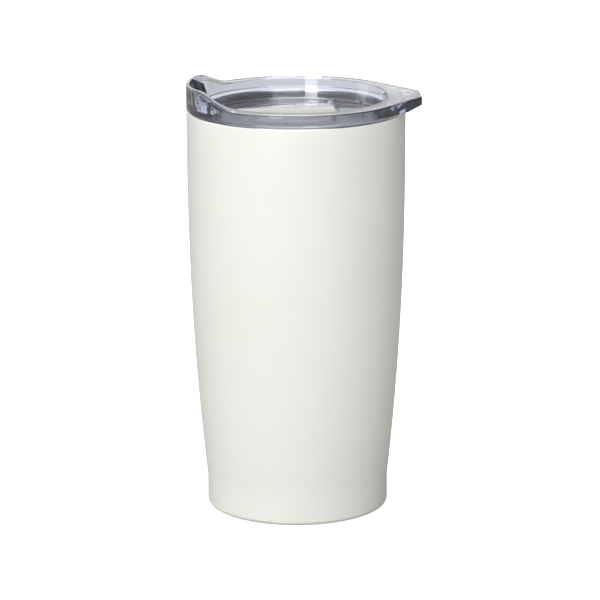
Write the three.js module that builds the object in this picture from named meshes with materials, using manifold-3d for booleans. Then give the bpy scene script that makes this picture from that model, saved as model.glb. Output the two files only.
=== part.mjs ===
// A double-walled steel tumbler with a clear push-on lid and a flip-up drinking closure.
// Units are millimetres and +Z is up. The origin is on the tumbler's axis, in the plane it stands on.
// The lid's drinking spout is at -X and its thumb tab is at +X.
import * as THREE from "three";
import { mergeVertices } from "three/addons/utils/BufferGeometryUtils.js";
import Module from "manifold-3d";

const wasm = await Module();
wasm.setup();

// ---- Driving dimensions ----------------------------------------------------------------------

const GAP = 0.3; // clearance between two pieces that touch
const ROUND_SEGMENTS = 48; // flats around every turned piece
const SMALL_SEGMENTS = 20; // flats around small holes, pins and discs

// Steel body
const BODY_RADIUS = 44.45; // outer radius at the mouth
const BODY_HEIGHT = 166.3; // from the standing plane to the top of the steel rim
const STRAIGHT_LENGTH = 9.3; // straight stretch of the outer wall below the rim
const FOOT_TAPER = 7.25; // how much narrower the foot is than the mouth, in radius
const FOOT_HEIGHT = 12; // top of the straight foot
const TAPER_POWER = 2.25; // how late the taper sets in: the wall draws in with this power of the depth
const FOOT_CORNER = 1.8; // outer rounding at the bottom of the foot
const SHELL_SHEET = 0.5; // sheet thickness of the outer shell
const LINER_SHEET = 0.5; // sheet thickness of the inner liner
const WALL_THICKNESS = 4; // from the outside of the shell to the inside of the liner
const RIM_SHELL_RADIUS = 1.2; // outer rounding of the rim
const RIM_LINER_RADIUS = 1.5; // inner rounding of the rim
const SEAT_DEPTH = 12; // straight stretch inside the mouth, where the lid seals
const HEM_HEIGHT = 4; // height of the shell's turned-in hem inside the foot
const HEM_RADIUS = 1; // outer rounding of the hem's turn

// Inner bottom and the vacuum space
const LINER_SEAM = 22; // height of the weld between the liner's wall and floor
const LINER_FLOOR_TOP = 12.5; // height of the drinking side of the floor
const LINER_CORNER = 7; // inner rounding between the liner's wall and floor
const FOIL_THICKNESS = 0.15;
const FOIL_MARGIN = 14; // bare liner left above the foil
const CLOSURE_SHEET = 0.6; // sheet of the plate that closes the vacuum space
const CLOSURE_LIFT = 4.4; // underside of the closing plate
const CLOSURE_FLANGE = 1.5; // depth of the plate's turned-down edge
const PIT_RADIUS = 5; // pit around the evacuation hole
const PIT_DEPTH = 1.2;
const SEAL_FACE = 0.7; // flat share of the sealing bead's radius
const EVACUATION_HOLE_RADIUS = 0.8;
const GETTER_RADIUS = 3.5;
const GETTER_HEIGHT = 1.8;
const GETTER_OFFSET = 16; // from the axis to the getter
const CLIP_WIDTH = 3;
const CLIP_SHEET = 0.4;
const CLIP_FOOT = 3; // length of each welded foot of the clip

// Base cap and pad
const PAD_PROUD = 0.25; // how far the pad stands below the steel foot
const PAD_THICKNESS = 1.1;
const PAD_MARGIN = 7.4; // bare steel between the pad and the hem
const PAD_CHAMFER = 0.3;
const CAP_SHEET = 0.6;
const CAP_CORNER = 1;

// Lid
const RING_OVERHANG = 0.05; // how far the lid's ring stands out beyond the mouth
const RING_HEIGHT = 4.7;
const RING_EDGE = 0.6; // rounding of the ring's outer top edge
const WELL_FLARE = 2.1; // how much wider the drinking well is at the ring's top than at its floor
const WELL_DEPTH = 8.3;
const WELL_CORNER = 1.2; // rounding between the well's wall and floor
const LID_WALL = 2; // general wall of the lid's moulding
const FLANGE_CLEARANCE = 0.65; // from the gasket's flanges to the liner
const FLANGE_THICKNESS = 1;
const FLANGE_DROP = 0.2; // the upper flange starts this far below the well's floor
const GROOVE_DEPTH = 2.6; // radial depth of the gasket's groove
const GASKET_HEIGHT = 2.4;
const GASKET_BODY = 1.7; // radial thickness of the gasket without its lips
const GASKET_LIP = 0.4; // thickness of each sealing lip

// Spout, drinking scoop, sip hole and vent
const SPOUT_RISE = 5.5; // crest of the spout above the ring
const SPOUT_EDGE = 1.1; // rounding of the crest
const SPOUT_FLAT = 3.5; // length of the crest at its full height, from the ring's outside
const SPOUT_LENGTH = 17.3; // from the ring's outside to where the crest meets the ring
const SPOUT_EASE = 0.35; // softness of the S-curve's ends, as a share of its run
const SCOOP_HALF_WIDTH = 9.5;
const SCOOP_SILL = 5; // height of the scoop's sill above the well's floor
const SCOOP_LIP = 1.5; // thickness of the crest that is left in front of the scoop
const SCOOP_KNEE = 1; // how far the scoop's curve leans back at its sill
const SCOOP_RUN = 4; // how far the scoop's cut reaches into the open well
const SIP_HOLE_RADIUS = 4.2;
const SIP_HOLE_X = -18.5;
const VENT_RADIUS = 1.2;
const VENT_X = 6;
const VENT_Y = 20;

// Thumb tab
const TAB_LENGTH = 6.3; // from the ring's outside to the tab's tip
const TAB_TIP_HALF_WIDTH = 9.5;
const TAB_CORNER = 3.5;
const TAB_ROOT = 11.5; // the tab's straight sides leave the ring this far in from its outside
const TAB_SINK = 1; // how deep the root of each side is sunk in the ring
const TAB_TIP_THICKNESS = 3.1;

// Flip closure
const HINGE_X = 14.8;
const BARREL_RADIUS = 1.4;
const TRUNNION_RADIUS = 0.7;
const TRUNNION_LENGTH = 1.9;
const TRUNNION_CLEARANCE = 0.25;
const FLAP_HALF_WIDTH = 10.5;
const FLAP_BLOCK_HEIGHT = 2.5; // top of the flap's block above its underside
const FLAP_STEP_X = 0; // where the block steps down to the tongue
const FLAP_STEP_RUN = 0.5; // how far the step leans back
const BARREL_SHOULDER = 1; // flat length over the barrel, and run of the slope beside it
const TONGUE_TOP = 2.1; // top of the tongue above the block's underside
const TONGUE_THICKNESS = 1.2;
const TONGUE_TIP_RADIUS = 6;
const SEAL_RADIUS = 5.6;
const EAR_THICKNESS = 2;
const EAR_RADIUS = 1.7;
const REST_LENGTH = 9.5;
const REST_HEIGHT = 1.8;
const REST_BEVEL = 0.5;
const REST_CLEARANCE = 2.6; // from the hinge axis to the rest block
const FIN_HEIGHT = 4;
const FIN_LENGTH = 2.4;
const FIN_TOP_LENGTH = 0.8;
const FIN_THICKNESS = 1.4;
const FIN_OFFSET = 3.5; // from the flap's side to the middle of each fin
const ROOT = 1; // how far the pieces on the well's floor are sunk in it, so that they join
const OVERCUT = 5; // how far cutting shapes reach past what they cut

// ---- Derived places --------------------------------------------------------------------------

const FOOT_RADIUS = BODY_RADIUS - FOOT_TAPER;
const STRAIGHT_START = BODY_HEIGHT - STRAIGHT_LENGTH;
const TAPER_HEIGHT = STRAIGHT_START - FOOT_HEIGHT;
const MOUTH_RADIUS = BODY_RADIUS - WALL_THICKNESS;
const RING_RADIUS = BODY_RADIUS + RING_OVERHANG;
const RING_BOTTOM = BODY_HEIGHT + GAP;
const RING_TOP = RING_BOTTOM + RING_HEIGHT;
const WELL_FLOOR = RING_TOP - WELL_DEPTH;
const FLOOR_UNDERSIDE = WELL_FLOOR - LID_WALL;
const FLANGE_RADIUS = MOUTH_RADIUS - FLANGE_CLEARANCE;
const GROOVE_RADIUS = FLANGE_RADIUS - GROOVE_DEPTH;
const WELL_FLOOR_RADIUS = GROOVE_RADIUS - LID_WALL;
const RECESS_RADIUS = WELL_FLOOR_RADIUS + WELL_FLARE;
const WELL_SLOPE = WELL_FLARE / WELL_DEPTH;
const GROOVE_TOP = WELL_FLOOR - FLANGE_DROP - FLANGE_THICKNESS;
const GROOVE_BOTTOM = GROOVE_TOP - GASKET_HEIGHT - 2 * GAP;
const PLUG_BOTTOM = GROOVE_BOTTOM - FLANGE_THICKNESS;
const SPOUT_TOP = RING_TOP + SPOUT_RISE;
const SPOUT_FULL_X = SPOUT_FLAT - RING_RADIUS;
const SPOUT_END_X = SPOUT_LENGTH - RING_RADIUS;
const TAB_REACH = RING_RADIUS + TAB_LENGTH;
const TAB_ROOT_X = RING_RADIUS - TAB_ROOT;
const HINGE_Z = WELL_FLOOR + GAP + BARREL_RADIUS;
const FLAP_UNDERSIDE = WELL_FLOOR + GAP;
const FOOT_BOTTOM = PAD_PROUD;
const HEM_INNER = FOOT_RADIUS - FOOT_CORNER - HEM_RADIUS;
const PAD_RADIUS = HEM_INNER - PAD_MARGIN;

// ---- Materials -------------------------------------------------------------------------------

const FINISHES = {
  paint: { color: 0xedf0e9, roughness: 0.35, metalness: 0 },
  steel: { color: 0xb9bbbd, roughness: 0.3, metalness: 1 },
  copper: { color: 0xc0795a, roughness: 0.35, metalness: 1 },
  glassSeal: { color: 0x6d7270, roughness: 0.3, metalness: 0 },
  getter: { color: 0x5c5c60, roughness: 0.6, metalness: 0.6 },
  pad: { color: 0x8f9190, roughness: 0.75, metalness: 0 },
  clear: { color: 0xdfe3ee, roughness: 0.05, metalness: 0 },
  silicone: { color: 0xe4e6e4, roughness: 0.5, metalness: 0 },
};

// ---- Geometry helpers ------------------------------------------------------------------------

// Points along a circular arc in a profile plane, from one angle to another in degrees.
function arc(centreR, centreZ, radius, fromDegrees, toDegrees, steps = 3) {
  const points = [];
  for (let i = 0; i <= steps; i++) {
    const angle = THREE.MathUtils.degToRad(fromDegrees + ((toDegrees - fromDegrees) * i) / steps);
    points.push([centreR + radius * Math.cos(angle), centreZ + radius * Math.sin(angle)]);
  }
  return points;
}

// The signed area of a profile, positive when it runs anticlockwise.
function signedArea(profile) {
  return profile.reduce((sum, [x, y], i) => {
    const [nextX, nextY] = profile[(i + 1) % profile.length];
    return sum + (x * nextY - nextX * y) / 2;
  }, 0);
}

// A ring-like solid turned about the Z axis from a profile of [radius, height] points off the axis.
function turned(profile) {
  const ordered = signedArea(profile) > 0 ? profile : [...profile].reverse();
  const points = [...ordered, ordered[0]].map(([r, z]) => new THREE.Vector2(r, z));
  return new THREE.LatheGeometry(points, ROUND_SEGMENTS).rotateX(Math.PI / 2);
}

// A disc-like solid whose profile starts and ends on the axis, listed from the bottom up.
function turnedSolid(profile, segments = ROUND_SEGMENTS) {
  const points = profile.map(([r, z]) => new THREE.Vector2(r, z));
  return new THREE.LatheGeometry(points, segments).rotateX(Math.PI / 2);
}

// An upright prism from an outline in the XY plane.
function upright(shape, bottom, top) {
  return new THREE.ExtrudeGeometry(shape, {
    depth: top - bottom,
    bevelEnabled: false,
    curveSegments: 8,
  }).translate(0, 0, bottom);
}

// A prism that runs across the lid, from an outline in the XZ plane, centred on a Y value.
function across(shape, halfWidth, centreY = 0) {
  return new THREE.ExtrudeGeometry(shape, {
    depth: 2 * halfWidth,
    bevelEnabled: false,
    curveSegments: 8,
  })
    .rotateX(Math.PI / 2)
    .translate(0, centreY + halfWidth, 0);
}

// An outline through plain points.
function outline(points) {
  return new THREE.Shape(points.map(([x, y]) => new THREE.Vector2(x, y)));
}

// A closed solid that can be joined and cut.
function solid(geometry) {
  const bare = geometry.clone();
  bare.deleteAttribute("normal");
  bare.deleteAttribute("uv");
  const merged = mergeVertices(bare, 1e-4);
  return new wasm.Manifold(
    new wasm.Mesh({
      numProp: 3,
      vertProperties: new Float32Array(merged.attributes.position.array),
      triVerts: new Uint32Array(merged.index.array),
    }),
  );
}

// The geometry of a joined or cut solid.
function geometryOf(manifold) {
  const mesh = manifold.getMesh();
  const geometry = new THREE.BufferGeometry();
  geometry.setAttribute("position", new THREE.BufferAttribute(mesh.vertProperties, 3));
  geometry.setIndex(new THREE.BufferAttribute(mesh.triVerts, 1));
  geometry.computeVertexNormals();
  return geometry;
}

// A named piece with its finish.
function piece(name, geometry, finish) {
  const mesh = new THREE.Mesh(geometry, new THREE.MeshStandardMaterial(FINISHES[finish]));
  mesh.name = name;
  return mesh;
}

// ---- Steel body ------------------------------------------------------------------------------

// Outer radius of the body at a height: straight at the mouth, then one long curve down to the foot.
function bodyRadius(z) {
  const depth = Math.max(STRAIGHT_START - z, 0) / TAPER_HEIGHT;
  return BODY_RADIUS - FOOT_TAPER * depth ** TAPER_POWER;
}

// Points up the tapered wall, set in from the outside by a distance.
function wallPoints(fromZ, toZ, inset, steps = 6) {
  const points = [];
  for (let i = 0; i <= steps; i++) {
    const z = fromZ + ((toZ - fromZ) * i) / steps;
    points.push([bodyRadius(z) - inset, z]);
  }
  return points;
}

// The painted outer shell: hemmed foot, tapered wall and the outer half of the rim.
function outerShell() {
  const cornerR = FOOT_RADIUS - FOOT_CORNER;
  const cornerZ = FOOT_BOTTOM + FOOT_CORNER;
  const rimR = BODY_RADIUS - RIM_SHELL_RADIUS;
  const rimZ = BODY_HEIGHT - RIM_SHELL_RADIUS;
  const weldR = rimR - GAP;
  const hemTop = FOOT_BOTTOM + HEM_HEIGHT;
  const outside = [
    [HEM_INNER, hemTop],
    ...arc(cornerR, FOOT_BOTTOM + HEM_RADIUS, HEM_RADIUS, 180, 270),
    ...arc(cornerR, cornerZ, FOOT_CORNER, 270, 360).slice(1),
    ...wallPoints(FOOT_HEIGHT, STRAIGHT_START, 0),
    ...arc(rimR, rimZ, RIM_SHELL_RADIUS, 0, 90),
    [weldR, BODY_HEIGHT],
  ];
  const inside = [
    [weldR, BODY_HEIGHT - SHELL_SHEET],
    ...arc(rimR, rimZ, RIM_SHELL_RADIUS - SHELL_SHEET, 90, 0),
    ...wallPoints(STRAIGHT_START, FOOT_HEIGHT, SHELL_SHEET),
    ...arc(cornerR, cornerZ, FOOT_CORNER - SHELL_SHEET, 360, 270),
    ...arc(cornerR, FOOT_BOTTOM + HEM_RADIUS, HEM_RADIUS - SHELL_SHEET, 270, 180, 2).slice(1),
    [HEM_INNER + SHELL_SHEET, hemTop],
  ];
  return turned([...outside, ...inside]);
}

// The liner's wall: the inner half of the rim, the straight seat for the lid, and the tapered wall.
function linerWall() {
  const rimR = MOUTH_RADIUS + RIM_LINER_RADIUS;
  const rimZ = BODY_HEIGHT - RIM_LINER_RADIUS;
  const seatBottom = BODY_HEIGHT - SEAT_DEPTH;
  const weldR = BODY_RADIUS - RIM_SHELL_RADIUS - 2 * GAP;
  const inside = [
    ...wallPoints(LINER_SEAM, seatBottom, WALL_THICKNESS),
    ...arc(rimR, rimZ, RIM_LINER_RADIUS, 180, 90),
    [weldR, BODY_HEIGHT],
  ];
  const outside = [
    [weldR, BODY_HEIGHT - LINER_SHEET],
    ...arc(rimR, rimZ, RIM_LINER_RADIUS - LINER_SHEET, 90, 180),
    ...wallPoints(seatBottom, LINER_SEAM, WALL_THICKNESS - LINER_SHEET),
  ];
  return turned([...inside, ...outside]);
}

// The liner's pressed floor, welded to its wall at the seam.
function linerFloor() {
  const top = LINER_SEAM - GAP;
  const sideInset = bodyRadius(top) - WALL_THICKNESS;
  const cornerZ = LINER_FLOOR_TOP + LINER_CORNER;
  const cornerR = sideInset - LINER_CORNER;
  const underside = arc(cornerR, cornerZ, LINER_CORNER + LINER_SHEET, 270, 360, 6);
  const drinkingSide = arc(cornerR, cornerZ, LINER_CORNER, 360, 270, 6);
  return turnedSolid([
    [0, LINER_FLOOR_TOP - LINER_SHEET],
    ...underside,
    [sideInset + LINER_SHEET, top],
    [sideInset, top],
    ...drinkingSide,
    [0, LINER_FLOOR_TOP],
  ]);
}

// The foil sleeve around the liner, inside the vacuum space.
function radiationFoil() {
  const inset = WALL_THICKNESS - LINER_SHEET - GAP;
  const bottom = LINER_SEAM + GAP;
  const top = BODY_HEIGHT - FOIL_MARGIN;
  return turned([
    ...wallPoints(bottom, top, inset, 5),
    ...wallPoints(top, bottom, inset - FOIL_THICKNESS, 5),
  ]);
}

// The plate that closes the vacuum space, with a flange in the hem and a pit for the sealing bead.
function vacuumClosure() {
  const rim = HEM_INNER - GAP;
  const flangeBottom = CLOSURE_LIFT - CLOSURE_FLANGE;
  const plateTop = CLOSURE_LIFT + CLOSURE_SHEET;
  const pitRoof = CLOSURE_LIFT + PIT_DEPTH;
  return turned([
    [EVACUATION_HOLE_RADIUS, pitRoof],
    [PIT_RADIUS, pitRoof],
    [PIT_RADIUS, CLOSURE_LIFT],
    [rim - CLOSURE_SHEET, CLOSURE_LIFT],
    [rim - CLOSURE_SHEET, flangeBottom],
    [rim, flangeBottom],
    ...arc(rim - CLOSURE_SHEET, CLOSURE_LIFT, CLOSURE_SHEET, 0, 90),
    [PIT_RADIUS + CLOSURE_SHEET, plateTop],
    [PIT_RADIUS + CLOSURE_SHEET, pitRoof + CLOSURE_SHEET],
    [EVACUATION_HOLE_RADIUS, pitRoof + CLOSURE_SHEET],
  ]);
}

// The bead of sealing glass in the pit, under the evacuation hole.
function evacuationSeal() {
  const top = CLOSURE_LIFT + PIT_DEPTH - GAP;
  const radius = PIT_RADIUS - 2 * GAP;
  const bottom = CLOSURE_LIFT + GAP;
  return turnedSolid(
    [
      [0, bottom],
      [radius * SEAL_FACE, bottom],
      [radius, bottom + GAP],
      [radius, top],
      [0, top],
    ],
    SMALL_SEGMENTS,
  );
}

// The getter pill, which holds the vacuum over the years.
function getterPill() {
  const bottom = CLOSURE_LIFT + CLOSURE_SHEET + GAP;
  return new THREE.CylinderGeometry(GETTER_RADIUS, GETTER_RADIUS, GETTER_HEIGHT, SMALL_SEGMENTS)
    .rotateX(Math.PI / 2)
    .translate(GETTER_OFFSET, 0, bottom + GETTER_HEIGHT / 2);
}

// The bent strap that holds the getter pill down, with a welded foot on each side.
function getterClip() {
  const bottom = CLOSURE_LIFT + CLOSURE_SHEET + GAP;
  const innerHalf = GETTER_RADIUS + GAP;
  const outerHalf = innerHalf + CLIP_SHEET;
  const footHalf = outerHalf + CLIP_FOOT;
  const innerTop = bottom + GETTER_HEIGHT + GAP;
  const footTop = bottom + CLIP_SHEET;
  const outerTop = innerTop + CLIP_SHEET;
  const halfProfile = [
    [innerHalf, innerTop],
    [innerHalf, bottom],
    [footHalf, bottom],
    [footHalf, footTop],
    [outerHalf, footTop],
    [outerHalf, outerTop],
  ];
  const mirrored = halfProfile.map(([x, z]) => [-x, z]).reverse();
  return across(outline([...halfProfile, ...mirrored]), CLIP_WIDTH / 2).translate(GETTER_OFFSET, 0, 0);
}

// The steel cap that covers the closing plate from below.
function baseCap() {
  const rim = HEM_INNER - GAP;
  const bottom = PAD_THICKNESS + GAP;
  const cornerZ = bottom + CAP_CORNER;
  const cornerR = rim - CAP_CORNER;
  return turnedSolid([
    [0, bottom],
    ...arc(cornerR, cornerZ, CAP_CORNER, 270, 360),
    ...arc(cornerR, cornerZ, CAP_CORNER - CAP_SHEET, 360, 270),
    [0, bottom + CAP_SHEET],
  ]);
}

// The soft pad that the tumbler stands on.
function basePad() {
  return turnedSolid([
    [0, 0],
    [PAD_RADIUS - PAD_CHAMFER, 0],
    [PAD_RADIUS, PAD_CHAMFER],
    [PAD_RADIUS, PAD_THICKNESS],
    [0, PAD_THICKNESS],
  ]);
}

// ---- Lid -------------------------------------------------------------------------------------

// Radius of the drinking well's wall at a height; the spout's inner face carries on up the same cone.
function wellRadius(z) {
  return WELL_FLOOR_RADIUS + WELL_SLOPE * (z - WELL_FLOOR);
}

// The turned part of the lid: thick ring, well, floor, and the plug with its gasket groove.
function lidRing() {
  const plugRadius = (z) => wellRadius(z) + LID_WALL;
  const skirtInner = GROOVE_RADIUS - LID_WALL;
  return turnedSolid([
    [0, FLOOR_UNDERSIDE],
    [skirtInner, FLOOR_UNDERSIDE],
    [skirtInner, PLUG_BOTTOM],
    [FLANGE_RADIUS, PLUG_BOTTOM],
    [FLANGE_RADIUS, GROOVE_BOTTOM],
    [GROOVE_RADIUS, GROOVE_BOTTOM],
    [GROOVE_RADIUS, GROOVE_TOP],
    [FLANGE_RADIUS, GROOVE_TOP],
    [FLANGE_RADIUS, GROOVE_TOP + FLANGE_THICKNESS],
    [plugRadius(WELL_FLOOR), GROOVE_TOP + FLANGE_THICKNESS],
    [plugRadius(RING_BOTTOM), RING_BOTTOM],
    [RING_RADIUS, RING_BOTTOM],
    ...arc(RING_RADIUS - RING_EDGE, RING_TOP - RING_EDGE, RING_EDGE, 0, 90),
    [RECESS_RADIUS + RING_EDGE / 2, RING_TOP],
    [wellRadius(RING_TOP - RING_EDGE / 2), RING_TOP - RING_EDGE / 2],
    ...arc(WELL_FLOOR_RADIUS - WELL_CORNER, WELL_FLOOR + WELL_CORNER, WELL_CORNER, 0, -90),
    [0, WELL_FLOOR],
  ]);
}

// Everything under the spout's crest line, which is an S-curve seen from the side.
function underCrest() {
  const reach = RING_RADIUS + OVERCUT;
  const low = RING_BOTTOM - OVERCUT;
  const ease = SPOUT_EASE * (SPOUT_END_X - SPOUT_FULL_X);
  const shape = new THREE.Shape();
  shape.moveTo(-reach, low);
  shape.lineTo(SPOUT_END_X, low);
  shape.lineTo(SPOUT_END_X, RING_TOP);
  shape.bezierCurveTo(SPOUT_END_X - ease, RING_TOP, SPOUT_FULL_X + ease, SPOUT_TOP, SPOUT_FULL_X, SPOUT_TOP);
  shape.lineTo(-reach, SPOUT_TOP);
  shape.closePath();
  return solid(across(shape, reach));
}

// The scoop that leads the drink over the crest.
function scoop() {
  const sill = WELL_FLOOR + SCOOP_SILL;
  const frontX = SCOOP_LIP - RING_RADIUS;
  const backX = SCOOP_RUN - WELL_FLOOR_RADIUS;
  const high = SPOUT_TOP + OVERCUT;
  const shape = new THREE.Shape();
  shape.moveTo(backX, high);
  shape.lineTo(frontX, high);
  shape.lineTo(frontX, SPOUT_TOP - SPOUT_EDGE);
  shape.quadraticCurveTo(frontX + SCOOP_KNEE, sill, -wellRadius(sill), sill);
  shape.lineTo(backX, sill);
  shape.closePath();
  return solid(across(shape, SCOOP_HALF_WIDTH));
}

// The raised spout: a turned wedge cut to the crest line.
function spout() {
  const foot = (RING_BOTTOM + RING_TOP) / 2;
  const crestInner = wellRadius(SPOUT_TOP);
  const wedge = solid(
    turned([
      [wellRadius(foot), foot],
      [RING_RADIUS, foot],
      ...arc(RING_RADIUS - SPOUT_EDGE, SPOUT_TOP - SPOUT_EDGE, SPOUT_EDGE, 0, 90),
      ...arc(crestInner + SPOUT_EDGE, SPOUT_TOP - SPOUT_EDGE, SPOUT_EDGE, 90, 170),
    ]),
  );
  return wedge.intersect(underCrest());
}

// The thumb tab: straight sides out to a rounded tip, with an underside that thins towards the tip.
function thumbTab() {
  const rootY = Math.sqrt((RING_RADIUS - TAB_SINK) ** 2 - TAB_ROOT_X ** 2);
  const rootX = TAB_ROOT_X - LID_WALL;
  const cornerX = TAB_REACH - TAB_CORNER;
  const cornerY = TAB_TIP_HALF_WIDTH - TAB_CORNER;
  const shape = new THREE.Shape();
  shape.moveTo(rootX, -rootY);
  shape.lineTo(TAB_ROOT_X, -rootY);
  shape.lineTo(cornerX, -TAB_TIP_HALF_WIDTH);
  shape.absarc(cornerX, -cornerY, TAB_CORNER, -Math.PI / 2, 0, false);
  shape.absarc(cornerX, cornerY, TAB_CORNER, 0, Math.PI / 2, false);
  shape.lineTo(TAB_ROOT_X, rootY);
  shape.lineTo(rootX, rootY);
  shape.closePath();
  const side = outline([
    [rootX, RING_BOTTOM],
    [RING_RADIUS, RING_BOTTOM],
    [TAB_REACH, RING_TOP - TAB_TIP_THICKNESS],
    [TAB_REACH, RING_TOP],
    [rootX, RING_TOP],
  ]);
  const plan = solid(upright(shape, RING_BOTTOM - OVERCUT, RING_TOP + OVERCUT));
  const outsideWell = solid(
    turned([
      [RING_RADIUS - LID_WALL, RING_BOTTOM - OVERCUT],
      [TAB_REACH + OVERCUT, RING_BOTTOM - OVERCUT],
      [TAB_REACH + OVERCUT, RING_TOP + OVERCUT],
      [RING_RADIUS - LID_WALL, RING_TOP + OVERCUT],
    ]),
  );
  return plan.intersect(solid(across(side, RING_RADIUS))).intersect(outsideWell);
}

// One bearing ear of the flap's hinge, on the +Y side (1) or the -Y side (-1).
function hingeEar(side) {
  const shape = new THREE.Shape();
  shape.moveTo(HINGE_X - EAR_RADIUS, WELL_FLOOR - ROOT);
  shape.lineTo(HINGE_X + EAR_RADIUS, WELL_FLOOR - ROOT);
  shape.absarc(HINGE_X, HINGE_Z, EAR_RADIUS, 0, Math.PI, false);
  shape.closePath();
  const bearing = new THREE.Path();
  bearing.absarc(HINGE_X, HINGE_Z, TRUNNION_RADIUS + TRUNNION_CLEARANCE, 0, 2 * Math.PI, true);
  shape.holes.push(bearing);
  const centre = FLAP_HALF_WIDTH + GAP + EAR_THICKNESS / 2;
  return solid(across(shape, EAR_THICKNESS / 2, side * centre));
}

// The block behind the hinge that the open flap's heel passes over.
function restBlock() {
  const start = HINGE_X + REST_CLEARANCE;
  const end = start + REST_LENGTH;
  const top = WELL_FLOOR + REST_HEIGHT;
  const shape = outline([
    [start, WELL_FLOOR - ROOT],
    [end, WELL_FLOOR - ROOT],
    [end, top - REST_BEVEL],
    [end - REST_BEVEL, top],
    [start + REST_BEVEL, top],
    [start, top - REST_BEVEL],
  ]);
  return solid(across(shape, FLAP_HALF_WIDTH));
}

// One three-cornered fin beyond the rest block, on the +Y side (1) or the -Y side (-1).
function restFin(side) {
  const tail = HINGE_X + REST_CLEARANCE + REST_LENGTH + FIN_LENGTH / 2;
  const shape = outline([
    [tail - FIN_LENGTH, WELL_FLOOR - ROOT],
    [tail, WELL_FLOOR - ROOT],
    [tail, WELL_FLOOR + FIN_HEIGHT],
    [tail - FIN_TOP_LENGTH, WELL_FLOOR + FIN_HEIGHT],
  ]);
  return solid(across(shape, FIN_THICKNESS / 2, side * (FLAP_HALF_WIDTH + FIN_OFFSET)));
}

// A round hole straight through the lid's floor.
function floorHole(x, y, radius) {
  return solid(
    new THREE.CylinderGeometry(radius, radius, WELL_DEPTH, SMALL_SEGMENTS)
      .rotateX(Math.PI / 2)
      .translate(x, y, WELL_FLOOR),
  );
}

// The whole clear lid as one moulding.
function lidBody() {
  const added = [spout(), thumbTab(), restBlock(), hingeEar(1), hingeEar(-1), restFin(1), restFin(-1)];
  const removed = [
    scoop(),
    floorHole(SIP_HOLE_X, 0, SIP_HOLE_RADIUS),
    floorHole(VENT_X, VENT_Y, VENT_RADIUS),
  ];
  const joined = added.reduce((whole, part) => whole.add(part), solid(lidRing()));
  const cut = removed.reduce((whole, part) => whole.subtract(part), joined);
  return geometryOf(cut);
}

// The silicone ring in the plug's groove, with two lips that reach for the liner.
function lidGasket() {
  const inner = GROOVE_RADIUS + GAP;
  const body = inner + GASKET_BODY;
  const lip = MOUTH_RADIUS - GAP;
  const bottom = GROOVE_BOTTOM + GAP;
  const top = bottom + GASKET_HEIGHT;
  const valley = (GASKET_HEIGHT - 2 * GASKET_LIP) / 4;
  return turned([
    [inner, bottom],
    [body, bottom],
    [lip, bottom + GASKET_LIP],
    [lip, bottom + 2 * GASKET_LIP],
    [body, bottom + GASKET_LIP + valley],
    [body, top - GASKET_LIP - valley],
    [lip, top - GASKET_LIP],
    [lip, top],
    [inner, top],
  ]);
}

// ---- Flip closure ----------------------------------------------------------------------------

// The flap seen from above: a rounded tip over the sip hole that widens to the full-width block.
function flapPlan() {
  const half = FLAP_HALF_WIDTH;
  const heel = HINGE_X + BARREL_RADIUS;
  const reach = Math.hypot(FLAP_STEP_X - SIP_HOLE_X, half);
  const lean = Math.atan2(half, FLAP_STEP_X - SIP_HOLE_X);
  const tangent = lean + Math.acos(TONGUE_TIP_RADIUS / reach);
  const shape = new THREE.Shape();
  shape.moveTo(heel, half);
  shape.lineTo(FLAP_STEP_X, half);
  shape.absarc(SIP_HOLE_X, 0, TONGUE_TIP_RADIUS, tangent, 2 * Math.PI - tangent, false);
  shape.lineTo(FLAP_STEP_X, -half);
  shape.lineTo(heel, -half);
  shape.closePath();
  return solid(upright(shape, WELL_FLOOR, RING_TOP));
}

// The flap seen from the side: thin tongue, step up to the block, and the round hinge barrel.
function flapSide() {
  const tip = SIP_HOLE_X - TONGUE_TIP_RADIUS;
  const tongueTop = FLAP_UNDERSIDE + TONGUE_TOP;
  const blockTop = FLAP_UNDERSIDE + FLAP_BLOCK_HEIGHT;
  const shape = new THREE.Shape();
  shape.moveTo(tip, tongueTop - TONGUE_THICKNESS);
  shape.lineTo(FLAP_STEP_X - FLAP_STEP_RUN, tongueTop - TONGUE_THICKNESS);
  shape.lineTo(FLAP_STEP_X, FLAP_UNDERSIDE);
  shape.lineTo(HINGE_X, FLAP_UNDERSIDE);
  shape.absarc(HINGE_X, HINGE_Z, BARREL_RADIUS, -Math.PI / 2, Math.PI / 2, false);
  shape.lineTo(HINGE_X - BARREL_SHOULDER, HINGE_Z + BARREL_RADIUS);
  shape.lineTo(HINGE_X - 2 * BARREL_SHOULDER, blockTop);
  shape.lineTo(FLAP_STEP_X + FLAP_STEP_RUN, blockTop);
  shape.lineTo(FLAP_STEP_X, tongueTop);
  shape.lineTo(tip, tongueTop);
  shape.closePath();
  return solid(across(shape, FLAP_HALF_WIDTH));
}

// The pivot stubs at both ends of the barrel.
function trunnions() {
  const length = 2 * (FLAP_HALF_WIDTH + TRUNNION_LENGTH);
  return solid(
    new THREE.CylinderGeometry(TRUNNION_RADIUS, TRUNNION_RADIUS, length, SMALL_SEGMENTS).translate(
      HINGE_X,
      0,
      HINGE_Z,
    ),
  );
}

// The flip-up flap as one moulding.
function closureFlap() {
  return geometryOf(flapPlan().intersect(flapSide()).add(trunnions()));
}

// The soft disc under the tongue that covers the sip hole.
function closureSeal() {
  const bottom = WELL_FLOOR + GAP;
  const top = FLAP_UNDERSIDE + TONGUE_TOP - TONGUE_THICKNESS - GAP;
  return turnedSolid(
    [
      [0, bottom],
      [SEAL_RADIUS, bottom],
      [SEAL_RADIUS, top],
      [0, top],
    ],
    SMALL_SEGMENTS,
  ).translate(SIP_HOLE_X, 0, 0);
}

// ---- Assembly --------------------------------------------------------------------------------

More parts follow.
